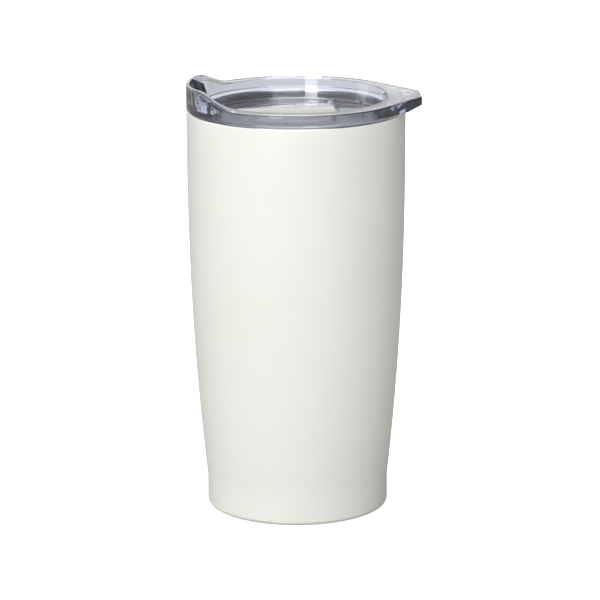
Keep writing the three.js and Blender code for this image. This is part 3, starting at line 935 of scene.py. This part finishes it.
@dataclass(frozen=True)
class VacuumSpace:
    """The pieces sealed between the two walls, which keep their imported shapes."""

    nodes: dict[str, bpy.types.Object]

    def dress_node(self, node: str, material: bpy.types.Material) -> None:
        """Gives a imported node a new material."""
        piece = self.nodes[node]
        for place in piece.material_slots:
            place.material = material
        log.info("%s: dressed in %s", piece.name, material.name)

    def build(self) -> None:
        """Dresses the foil, the closing plate, its bead, and the getter with its clip."""
        plain = SheetMetal("plain_sheet_steel", (0.50, 0.50, 0.49)).material()
        copper = SheetMetal("bright_copper_foil", (0.78, 0.42, 0.28), roughness=0.28).material()
        getter = SheetMetal("sintered_getter", (0.20, 0.20, 0.21), 0.6, 0.6).material()
        self.dress_node("radiation_foil", copper)
        self.dress_node("vacuum_closure", plain)
        self.dress_node("getter_clip", plain)
        self.dress_node("getter_pill", getter)
        self.dress_node("evacuation_seal", FusedGlass().material())


# ---- Lid -------------------------------------------------------------------------------------


@dataclass
class ClearLid:
    """The lid's clear moulding and its gasket, in millimetres."""

    ring_radius: float = field(default_factory=lambda: -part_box("lid_body")[0].x / MM)
    tab_reach: float = field(default_factory=lambda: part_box("lid_body")[1].x / MM)
    crest_top: float = field(default_factory=lambda: top_of("lid_body"))
    plug_bottom: float = field(default_factory=lambda: bottom_of("lid_body"))
    gasket_bottom: float = field(default_factory=lambda: bottom_of("lid_gasket"))
    gasket_top: float = field(default_factory=lambda: top_of("lid_gasket"))
    gasket_reach: float = field(default_factory=lambda: reach_of("lid_gasket"))
    crest_rise: float = 5.5
    ring_height: float = 4.7
    ring_edge: float = 0.6
    crest_edge: float = 1.1
    inner_edge: float = 0.45
    well_top_radius: float = 37.3
    well_floor_radius: float = 35.2
    well_depth: float = 8.3
    well_corner: float = 1.2
    well_support: float = 0.3
    wall: float = 2.0
    small_edge: float = 0.2
    flange_radius: float = 39.8
    flange: float = 1.0
    groove_lift: float = 1.2
    groove_clearance: float = 0.3
    crest_flat: float = 3.5
    crest_length: float = 17.3
    scoop_half_width: float = 9.5
    scoop_side: float = 0.9
    scoop_sill: float = 5.0
    scoop_lip: float = 1.5
    scoop_edge: float = 0.5
    scoop_knee: float = 1.0
    tab_half_width: float = 9.5
    tab_corner: float = 3.5
    tab_tip_thickness: float = 3.1
    sip_hole_x: float = -18.5
    sip_hole_radius: float = 4.2
    sip_bead_radius: float = 4.9
    sip_bead_height: float = 0.16
    vent_x: float = 6.0
    vent_y: float = 20.0
    vent_radius: float = 1.2
    hole_lead: float = 0.35
    root: float = 1.0
    overcut: float = 3.0
    hinge_x: float = 14.8
    hinge_height: float = 1.7
    ear_radius: float = 1.7
    ear_thickness: float = 2.0
    ear_bore: float = 0.95
    ear_gap: float = 0.3
    ear_edge: float = 0.3
    rest_clearance: float = 2.6
    rest_length: float = 9.5
    rest_height: float = 1.8
    rest_edge: float = 0.45
    flap_half_width: float = 10.5
    fin_y: float = 14.0
    fin_height: float = 4.0
    fin_length: float = 2.4
    fin_thickness: float = 1.4
    fin_edge: float = 0.25
    gasket_body: float = 1.7
    gasket_edge: float = 0.2
    gasket_notch: float = 0.25
    gasket_lip: float = 0.35
    lower_lip_rise: float = 0.6
    upper_lip_drop: float = 0.25

    def __post_init__(self) -> None:
        """Works out the main heights and the tab's tangent line."""
        self.ring_top = self.crest_top - self.crest_rise
        self.ring_bottom = self.ring_top - self.ring_height
        self.floor = self.ring_top - self.well_depth
        self.slope = (self.well_top_radius - self.well_floor_radius) / self.well_depth
        self.hinge_z = self.floor + self.hinge_height
        centre = (self.tab_reach - self.tab_corner, self.tab_half_width - self.tab_corner)
        lean = math.acos((self.ring_radius - self.tab_corner) / math.hypot(*centre))
        self.tab_centre = centre
        self.tab_tangent = math.atan2(centre[1], centre[0]) + lean

    def well_radius(self, z: float) -> float:
        """Radius of the well's tapered wall at a height, carried on up the spout's inner face."""
        return self.well_floor_radius + self.slope * (z - self.floor)

    def top_at(self, x: float) -> float:
        """Height of the lid's top along X: flat, then an S-curve up to the spout's crest."""
        run = self.crest_length - self.crest_flat
        share = min(max((self.crest_length - self.ring_radius - x) / run, 0.0), 1.0)
        return self.ring_top + self.crest_rise * (share + smoother(share)) / 2

    def edge_radius(self, angle: float) -> float:
        """Outer radius of the lid's top at an angle: the ring, the tab's sides, corners and tip."""
        side = abs(math.remainder(angle, 2 * math.pi))
        if side >= self.tab_tangent:
            return self.ring_radius
        cx, cy = self.tab_centre
        corner_start = math.atan2(
            cy + self.tab_corner * math.sin(self.tab_tangent),
            cx + self.tab_corner * math.cos(self.tab_tangent),
        )
        if side >= corner_start:
            return self.ring_radius / math.cos(side - self.tab_tangent)
        if side >= math.atan2(cy, self.tab_reach):
            along = cx * math.cos(side) + cy * math.sin(side)
            return along + math.sqrt(self.tab_corner**2 - (cx**2 + cy**2 - along**2))
        return self.tab_reach / math.cos(side)

    def underside_at(self, x: float) -> float:
        """Height of the tab's underside along X, which thins the tab towards its tip."""
        share = max(x - self.ring_radius, 0.0) / (self.tab_reach + 1 - self.ring_radius)
        return self.ring_bottom + share * (self.ring_height - self.tab_tip_thickness)

    def scoop_share(self, angle: float) -> float:
        """How much of the scoop is cut at an angle, from 0 beside it to 1 inside it."""
        off = abs(math.remainder(angle - math.pi, 2 * math.pi))
        across = math.sin(min(off, math.pi / 2)) * self.well_top_radius
        return smoother((self.scoop_half_width - across) / self.scoop_side + 0.5)

    def plain_top(self, angle: float, outer: float) -> list[Pair]:
        """Profile from the sill's height up the well's wall and over the top, without the scoop."""
        top = self.top_at(self.well_top_radius * math.cos(angle))
        top_out = self.top_at(outer * math.cos(angle))
        climbed = (top - self.ring_top) / self.crest_rise
        edge = self.inner_edge + (self.crest_edge - self.inner_edge) * climbed
        sill = self.floor + self.scoop_sill
        corner = (self.well_radius(top) + edge, top - edge)
        start = (self.well_radius(sill), sill)
        wall_end = (self.well_radius(top - edge), top - edge)
        wall = [between(start, wall_end, i / 5) for i in range(5)]
        rounding = arc(corner, edge, 180 - math.degrees(math.atan(self.slope)), 90, 7)
        flat_end = (outer - self.outer_edge(angle), top_out)
        flat = [between(rounding[-1], flat_end, i / 5) for i in range(1, 6)]
        return wall + rounding + flat

    def scooped_top(self, angle: float, outer: float) -> list[Pair]:
        """The same stretch of profile where the scoop is cut, with as many points."""
        sill = self.floor + self.scoop_sill
        front = self.ring_radius - self.scoop_lip
        lip = self.scoop_edge
        high = self.crest_top - lip
        start, knee, end = (self.well_radius(sill), sill), (front - self.scoop_knee, sill), (front, high)
        shares = [i / 11 for i in range(12)]
        curve = [between(between(start, knee, t), between(knee, end, t), t) for t in shares]
        rounding = arc((front + lip, high), lip, 180, 90, 3)
        flat_end = (outer - self.outer_edge(angle), self.crest_top)
        flat = [between(rounding[-1], flat_end, i / 2) for i in range(1, 3)]
        return curve + rounding[1:] + flat + [flat_end]

    def outer_edge(self, angle: float) -> float:
        """Rounding of the outer top edge, which is softer along the crest."""
        top = self.top_at(self.ring_radius * math.cos(angle))
        climbed = (top - self.ring_top) / self.crest_rise
        return self.ring_edge + (self.crest_edge - self.ring_edge) * climbed

    def profile(self, angle: float) -> list[Pair]:
        """The moulding's whole profile at an angle, from the floor's middle round to its underside."""
        outer = self.edge_radius(angle)
        plain, scooped = self.plain_top(angle, outer), self.scooped_top(angle, outer)
        share = self.scoop_share(angle)
        top_line = [between(a, b, share) for a, b in zip(plain, scooped, strict=True)]
        return self.well_line() + top_line + self.outside_line(angle, outer) + self.plug_line()

    def well_line(self) -> list[Pair]:
        """Profile of the well's floor, corner and lower wall."""
        lean = math.atan(self.slope)
        corner = self.well_corner
        centre_r = self.well_floor_radius + self.slope * corner - corner / math.cos(lean)
        rounding = arc((centre_r, self.floor + corner), corner, -90, -math.degrees(lean), 8)
        support = (centre_r - self.well_support, self.floor)
        sill = self.floor + self.scoop_sill
        wall = [between(rounding[-1], (self.well_radius(sill), sill), i / 3) for i in range(1, 3)]
        return [(0.0, self.floor), support, *rounding, *wall]

    def outside_line(self, angle: float, outer: float) -> list[Pair]:
        """Profile of the outer edge, the outer wall and the underside back to the ring."""
        edge = self.outer_edge(angle)
        top = self.top_at(outer * math.cos(angle))
        under = self.underside_at(outer * math.cos(angle))
        small = self.small_edge
        rounding = arc((outer - edge, top - edge), edge, 90, 0, 8)[1:]
        wall = [between(rounding[-1], (outer, under + small), i / 3) for i in range(1, 4)]
        lower = arc((outer - small, under + small), small, 0, -90, 3)[1:]
        back = (self.ring_radius - 2 * small, self.ring_bottom)
        root = (self.well_radius(self.ring_bottom) + self.wall, self.ring_bottom)
        return [*rounding, *wall, *lower, back, between(back, root, 0.9), root]

    def plug_line(self) -> list[Pair]:
        """Profile of the plug: upper flange, gasket groove, lower flange, skirt and underside."""
        flange_low = self.floor - self.groove_lift
        groove = self.well_floor_radius + self.wall
        groove_bottom = self.plug_bottom + self.flange
        skirt = groove - self.wall
        small = self.small_edge
        rim = self.flange_radius
        underside = self.floor - self.wall
        return [
            (groove, flange_low + self.flange),
            (rim - small, flange_low + self.flange),
            (rim, flange_low + self.flange - small),
            (rim, flange_low + small),
            (rim - small, flange_low),
            (groove, flange_low),
            (groove, groove_bottom),
            (rim - small, groove_bottom),
            (rim, groove_bottom - small),
            (rim, self.plug_bottom + small),
            (rim - small, self.plug_bottom),
            (skirt + small, self.plug_bottom),
            (skirt, self.plug_bottom + small),
            (skirt, underside - 3 * small),
            (skirt - 3 * small, underside),
            (skirt - 6 * small, underside),
            (0.0, underside),
        ]

    def angles(self) -> list[float]:
        """Angles of the profiles: even ones, with closer ones at the scoop's sides and the tab."""
        found = {round(2 * math.pi * i / ROUND_STEPS, 6) for i in range(ROUND_STEPS)}
        scoop_side = math.asin(self.scoop_half_width / self.well_top_radius)
        for middle in (math.pi - scoop_side, math.pi + scoop_side):
            found |= {round(middle + math.radians(0.2 * i), 6) for i in range(-6, 7)}
        for middle in (math.radians(8.0), math.radians(-8.0)):
            found |= {round((middle + math.radians(0.4 * i)) % (2 * math.pi), 6) for i in range(-6, 7)}
        return sorted(found)

    def build_ears(self) -> list[bpy.types.Object]:
        """The two bored ears that hold the flap's trunnions."""
        ears = []
        for side in (-1, 1):
            half = self.ear_thickness / 2
            middle = side * (self.flap_half_width + self.ear_gap + half)
            outline = [
                (self.hinge_x - self.ear_radius, self.floor - self.root),
                (self.hinge_x + self.ear_radius, self.floor - self.root),
                *arc((self.hinge_x, self.hinge_z), self.ear_radius, 0, 180, 20),
            ]
            ear = prism("hinge_ear", outline, middle - half, middle + half, across=True)
            soften(ear, self.ear_edge)
            circle = arc((self.hinge_x, self.hinge_z), self.ear_bore, 0, 360, 32)[:-1]
            bore = prism("ear_bore", circle, middle - 2 * half, middle + 2 * half, across=True)
            combine(ear, [bore], Cut.REMOVE)
            ears.append(ear)
        return ears

    def build_rest(self) -> list[bpy.types.Object]:
        """The rest block behind the hinge and the two fins beyond it."""
        start = self.hinge_x + self.rest_clearance
        end = start + self.rest_length
        low, top = self.floor - self.root, self.floor + self.rest_height
        section = [(start, low), (end, low), (end, top), (start, top)]
        block = prism("rest_block", section, -self.flap_half_width, self.flap_half_width, across=True)
        soften(block, self.rest_edge)
        made = [block]
        tail = end + self.fin_length / 2
        outline = [
            (tail - self.fin_length, low),
            (tail, low),
            (tail, self.floor + self.fin_height),
            (tail - self.fin_length / 3, self.floor + self.fin_height),
        ]
        half = self.fin_thickness / 2
        for middle in (-self.fin_y, self.fin_y):
            fin = prism("rest_fin", outline, middle - half, middle + half, across=True)
            soften(fin, self.fin_edge)
            made.append(fin)
        return made

    def build_bead(self) -> bpy.types.Object:
        """The fine raised bead round the sip hole, which the seal presses on."""
        sunk, foot = 0.1, 0.4
        centre = (self.sip_bead_radius, self.floor - sunk)
        crest = arc(centre, self.sip_bead_height + sunk, 0, 180, 8)
        bead = turned("sip_bead", [*crest, (self.sip_bead_radius, self.floor - foot)], SMALL_STEPS)
        shift(bead, self.sip_hole_x)
        return bead

    def floor_hole(self, x: float, y: float, radius: float) -> bpy.types.Object:
        """A cutter for a round hole in the lid's floor, with a chamfer at both ends."""
        lead = self.hole_lead
        top, under = self.floor, self.floor - self.wall
        profile = [
            (0.0, under - self.overcut),
            (radius + lead, under - self.overcut),
            (radius + lead, under - CUT_MARGIN),
            (radius, under + lead),
            (radius, top - lead),
            (radius + lead, top + CUT_MARGIN),
            (radius + lead, top + self.overcut),
            (0.0, top + self.overcut),
        ]
        hole = turned("floor_hole", profile, SMALL_STEPS)
        shift(hole, x, y)
        return hole

    def build_moulding(self) -> bpy.types.Object:
        """The whole clear moulding."""
        lid = spun("lid_moulding", [(angle, self.profile(angle)) for angle in self.angles()])
        combine(lid, [*self.build_ears(), *self.build_rest(), self.build_bead()], Cut.JOIN)
        holes = [
            self.floor_hole(self.sip_hole_x, 0.0, self.sip_hole_radius),
            self.floor_hole(self.vent_x, self.vent_y, self.vent_radius),
        ]
        combine(lid, holes, Cut.REMOVE)
        return lid

    def build_gasket(self) -> bpy.types.Object:
        """The sealing ring with its two swept lips."""
        inner = self.well_floor_radius + self.wall + self.groove_clearance
        body = inner + self.gasket_body
        low, high = self.gasket_bottom, self.gasket_top
        middle = (low + high) / 2
        edge, notch, half_lip = self.gasket_edge, self.gasket_notch, self.gasket_lip / 2
        tip = self.gasket_reach - half_lip
        return turned(
            "lid_gasket_ring",
            [
                (inner, low + edge),
                (inner + edge, low),
                (body, low + edge / 4),
                *arc((tip, low + self.lower_lip_rise), half_lip, -60, 90, 6),
                *arc((body + notch, middle - edge / 2), notch, -90, -180, 4),
                *arc((body + notch, middle + edge / 2), notch, 180, 90, 4),
                *arc((tip, high - self.upper_lip_drop), half_lip, -90, 90, 6),
                (body, high),
                (inner + edge, high),
                (inner, high - edge),
            ],
        )

    def build(self, plastic: bpy.types.Material, silicone: bpy.types.Material) -> None:
        """Builds and dresses the moulding and the gasket."""
        dress(self.build_moulding(), plastic, Body.LID, "lid_body")
        dress(self.build_gasket(), silicone, Body.LID, "lid_gasket")


@dataclass
class FlipClosure:
    """The flip-up flap and its seal, in millimetres."""

    tip_x: float = field(default_factory=lambda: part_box("closure_flap")[0].x / MM)
    underside: float = field(default_factory=lambda: bottom_of("closure_flap"))
    seal_bottom: float = field(default_factory=lambda: bottom_of("closure_seal"))
    seal_top: float = field(default_factory=lambda: top_of("closure_seal"))
    seal_radius: float = field(default_factory=lambda: reach_of("closure_seal"))
    half_length: float = field(default_factory=lambda: reach_of("closure_flap"))
    hinge_x: float = 14.8
    barrel_radius: float = 1.4
    trunnion_radius: float = 0.7
    half_width: float = 10.5
    block_height: float = 2.5
    step_x: float = 0.0
    tongue_top: float = 2.1
    tongue: float = 1.2
    tip_radius: float = 6.0
    overhang: float = 1.0
    step_run: float = 0.5
    shoulder: float = 1.0
    edge: float = 0.15

    def plan(self) -> list[Pair]:
        """The flap from above: a round tip that widens on straight sides to the block."""
        tip = self.tip_x + self.tip_radius
        run = self.step_x - tip
        reach = math.hypot(run, self.half_width)
        turn = math.degrees(math.atan2(self.half_width, run) + math.acos(self.tip_radius / reach))
        heel = self.hinge_x + self.barrel_radius
        return [
            (heel, self.half_width),
            (self.step_x, self.half_width),
            *arc((tip, 0.0), self.tip_radius, turn, 360 - turn, 40),
            (self.step_x, -self.half_width),
            (heel, -self.half_width),
        ]

    def side(self) -> list[Pair]:
        """The flap from the side: thin tongue, step, block and hinge barrel."""
        hinge = (self.hinge_x, self.underside + self.barrel_radius)
        tongue_top = self.underside + self.tongue_top
        block_top = self.underside + self.block_height
        tip = self.tip_x - self.overhang
        return [
            (tip, tongue_top - self.tongue),
            (self.step_x - 2 * self.step_run, tongue_top - self.tongue),
            (self.step_x, self.underside),
            *arc(hinge, self.barrel_radius, -90, 90, 24),
            (self.hinge_x - self.shoulder, hinge[1] + self.barrel_radius),
            (self.hinge_x - 2 * self.shoulder, block_top),
            (self.step_x + self.step_run, block_top),
            (self.step_x, tongue_top),
            (tip, tongue_top),
        ]

    def build_flap(self) -> bpy.types.Object:
        """The clear flap with its trunnions."""
        wide = self.half_width + self.overhang
        flap = prism("closure_flap_moulding", self.side(), -wide, wide, across=True)
        low, high = self.underside - self.tongue_top, self.underside + 2 * self.block_height
        plan = prism("flap_plan", self.plan(), low, high)
        combine(flap, [plan], Cut.COMMON)
        soften(flap, self.edge)
        hinge = (self.hinge_x, self.underside + self.barrel_radius)
        circle = arc(hinge, self.trunnion_radius, 0, 360, 32)[:-1]
        pins = prism("trunnions", circle, -self.half_length, self.half_length, across=True)
        soften(pins, self.edge)
        combine(flap, [pins], Cut.JOIN)
        return flap

    def build_seal(self) -> bpy.types.Object:
        """The soft disc under the tongue, with a rounded edge."""
        edge = (self.seal_top - self.seal_bottom) / 2
        seal = turned(
            "closure_seal_disc",
            [
                (0.0, self.seal_bottom),
                *arc((self.seal_radius - edge, self.seal_bottom + edge), edge, -90, 90, 10),
                (0.0, self.seal_top),
            ],
            SMALL_STEPS,
        )
        shift(seal, self.tip_x + self.tip_radius)
        return seal

    def build(self, plastic: bpy.types.Material, silicone: bpy.types.Material) -> None:
        """Builds and dresses the flap and the seal."""
        dress(self.build_flap(), plastic, Body.FLAP, "closure_flap")
        dress(self.build_seal(), silicone, Body.FLAP, "closure_seal")


# ---- Studio ----------------------------------------------------------------------------------


@dataclass(frozen=True)
class Softbox:
    """One rectangular studio light, aimed at the tumbler. Angles are in degrees, sizes in metres."""

    name: str
    azimuth: float
    elevation: float
    distance: float
    width: float
    height: float
    power: float
    mirrored: bool = True

    def place(self, target: Vector) -> None:
        """Adds the light to the scene."""
        a, e = math.radians(self.azimuth), math.radians(self.elevation)
        away = Vector((math.sin(a) * math.cos(e), -math.cos(a) * math.cos(e), math.sin(e)))
        data = bpy.data.lights.new(self.name, "AREA")
        data.shape = "RECTANGLE"
        data.size, data.size_y = self.width, self.height
        data.energy = self.power
        lamp = bpy.data.objects.new(self.name, data)
        lamp.location = target + away * self.distance
        lamp.visible_glossy = self.mirrored
        lamp.rotation_euler = away.to_track_quat("Z", "Y").to_euler()
        bpy.context.scene.collection.objects.link(lamp)


@dataclass(frozen=True)
class Studio:
    """Pale floor, soft lights and the camera, in metres and radians unless a name says otherwise."""

    floor_size: float = 8.0
    white: Colour = (1.0, 1.0, 1.0)
    lit_floor: Colour = (0.93, 0.93, 0.93)
    paper: Colour = (0.42, 0.42, 0.41)
    darker_paper: Colour = (0.40, 0.40, 0.39)
    paper_scale: float = 300.0
    floor_glow: float = 0.75
    floor_behind: Pair = (0.03, 0.10)
    camera_azimuth: float = -3.0
    camera_distance: float = 1.4
    camera_height: float = 0.44
    aim_right: float = 0.00133
    aim_height: float = 0.0857
    roll: float = 0.0040
    lens: float = 210.8
    sensor: float = 36.0
    backdrop_behind: Pair = (0.62, 0.86)
    backdrop_through: float = 0.76
    room_left: float = 0.62
    room_right: float = 0.14
    room_low: float = 0.6
    room_high: float = 1.5
    room_heights: Pair = (-0.2, 0.9)
    room_colour: Colour = (0.98, 0.985, 0.95)
    flags: float = 0.5
    light_target: Triple = (0.0, 0.0, 0.09)
    lights: tuple[Softbox, ...] = (
        Softbox("key_strip", -23.5, 18.0, 1.5, 0.40, 1.3, 7.2),
        Softbox("front_fill", 10.0, 25.0, 1.5, 0.9, 1.2, 5.4, mirrored=False),
        Softbox("top_box", -10.0, 75.0, 1.3, 1.2, 1.2, 14.0),
        Softbox("left_fill", -100.0, 18.0, 1.6, 0.5, 1.3, 2.5),
    )

    def floor_material(self) -> bpy.types.Material:
        """White where it is looked at, softer behind the lid's plastic, and dim paper as a light."""
        graph = Graph("floor_paper")
        path = graph.node("ShaderNodeLightPath")
        _, y, _ = graph.axes()
        seen = Signal(graph, path.outputs["Is Camera Ray"])
        through = Signal(graph, path.outputs["Is Transmission Ray"]) * graph.ramp(y, *self.floor_behind)
        grain = graph.noise(self.paper_scale, 2.0)
        paper_inputs = {"Color": graph.blend(grain, self.paper, self.darker_paper)}
        paper = graph.node("ShaderNodeBsdfDiffuse", inputs=paper_inputs)
        lit = graph.node("ShaderNodeBsdfDiffuse", inputs={"Color": opaque(self.lit_floor)})
        glow, soft = (
            graph.node("ShaderNodeEmission", inputs={"Color": opaque(self.white), "Strength": strength})
            for strength in (self.floor_glow, self.backdrop_through)
        )
        bright = graph.node("ShaderNodeAddShader", inputs={0: lit.outputs[0], 1: glow.outputs[0]})
        behind = graph.mix_shaders(through, paper, soft)
        mixed = graph.mix_shaders(seen, behind, bright)
        graph.node("ShaderNodeOutputMaterial", inputs={"Surface": mixed.outputs[0]})
        return graph.block

    def build_floor(self) -> None:
        """A wide flat floor."""
        half = self.floor_size / 2
        mesh = bpy.data.meshes.new("studio_floor")
        corners = [(-half, -half, 0.0), (half, -half, 0.0), (half, half, 0.0), (-half, half, 0.0)]
        mesh.from_pydata(corners, [], [(0, 1, 2, 3)])
        floor = bpy.data.objects.new("studio_floor", mesh)
        bpy.context.scene.collection.objects.link(floor)
        mesh.materials.append(self.floor_material())

    def build_world(self) -> None:
        """A soft dim room whose white backdrop is only there for what mirrors it or lets it through."""
        graph = Graph("studio_room", "worlds")
        bpy.context.scene.world = graph.block
        place = graph.node("ShaderNodeTexCoord").outputs["Generated"]
        split = graph.node("ShaderNodeSeparateXYZ", inputs={0: place})
        x, y, z = (Signal(graph, socket) for socket in split.outputs)
        path = graph.node("ShaderNodeLightPath")
        kinds = ("Camera", "Transmission", "Glossy")
        camera, through, mirrored = (Signal(graph, path.outputs[f"Is {kind} Ray"]) for kind in kinds)
        clear = graph.math("MAXIMUM", through * self.backdrop_through, mirrored)
        white = graph.math("MAXIMUM", camera, clear * graph.ramp(y, *self.backdrop_behind))
        sides = graph.ramp(x, -1.0, 1.0, self.room_left, self.room_right)
        heights = graph.ramp(z, *self.room_heights, self.room_low, self.room_high)
        strength = sides * heights * (1 - through * self.flags)
        room_inputs = {"Color": opaque(self.room_colour), "Strength": strength}
        room = graph.node("ShaderNodeBackground", inputs=room_inputs)
        backdrop = graph.node("ShaderNodeBackground", inputs={"Color": opaque(self.white)})
        mixed = graph.mix_shaders(white, room, backdrop)
        graph.node("ShaderNodeOutputWorld", inputs={"Surface": mixed.outputs[0]})

    def build_camera(self) -> None:
        """The camera, in front and a little above, rolled by a trace."""
        a = math.radians(self.camera_azimuth)
        place = Vector((math.sin(a), -math.cos(a), 0.0)) * self.camera_distance
        place.z = self.camera_height
        data = bpy.data.cameras.new("camera")
        data.lens = self.lens
        data.sensor_width = self.sensor
        camera = bpy.data.objects.new("camera", data)
        side = Vector((math.cos(a), math.sin(a), 0.0))
        target = side * self.aim_right + Vector((0.0, 0.0, self.aim_height))
        camera.location = place
        level = (place - target).to_track_quat("Z", "Y")
        camera.rotation_euler = (level @ Quaternion((0.0, 0.0, 1.0), -self.roll)).to_euler()
        bpy.context.scene.collection.objects.link(camera)
        bpy.context.scene.camera = camera

    def build(self) -> None:
        """Builds the whole studio."""
        self.build_floor()
        self.build_world()
        self.build_camera()
        for light in self.lights:
            light.place(Vector(self.light_target))
        view = bpy.context.scene.view_settings
        view.view_transform = "Standard"
        view.look = "None"


def main() -> None:
    """Builds the tumbler and the studio, in order."""
    logging.basicConfig(level=logging.INFO, format="%(name)s: %(message)s")
    liner = TurnedSteel("turned_liner_steel").material()
    spun_base = TurnedSteel("spun_base_steel", roughness=0.3).material()
    lid_plastic = ClearPlastic("clear_lid_plastic").material()
    flap_plastic = ClearPlastic(
        "clear_flap_plastic",
        tint=(0.75, 0.80, 0.90),
        density=25.0,
        clarity=0.72,
        haze=(0.97, 0.96, 0.92),
    ).material()
    silicone = MilkySilicone().material()
    SteelBody().build(SatinPaint().material(), liner)
    Base().build(spun_base, PadRubber().material())
    VacuumSpace(frame["nodes"]).build()
    ClearLid().build(lid_plastic, silicone)
    FlipClosure().build(flap_plastic, silicone)
    Studio().build()


if __name__ == "__main__":
    main()
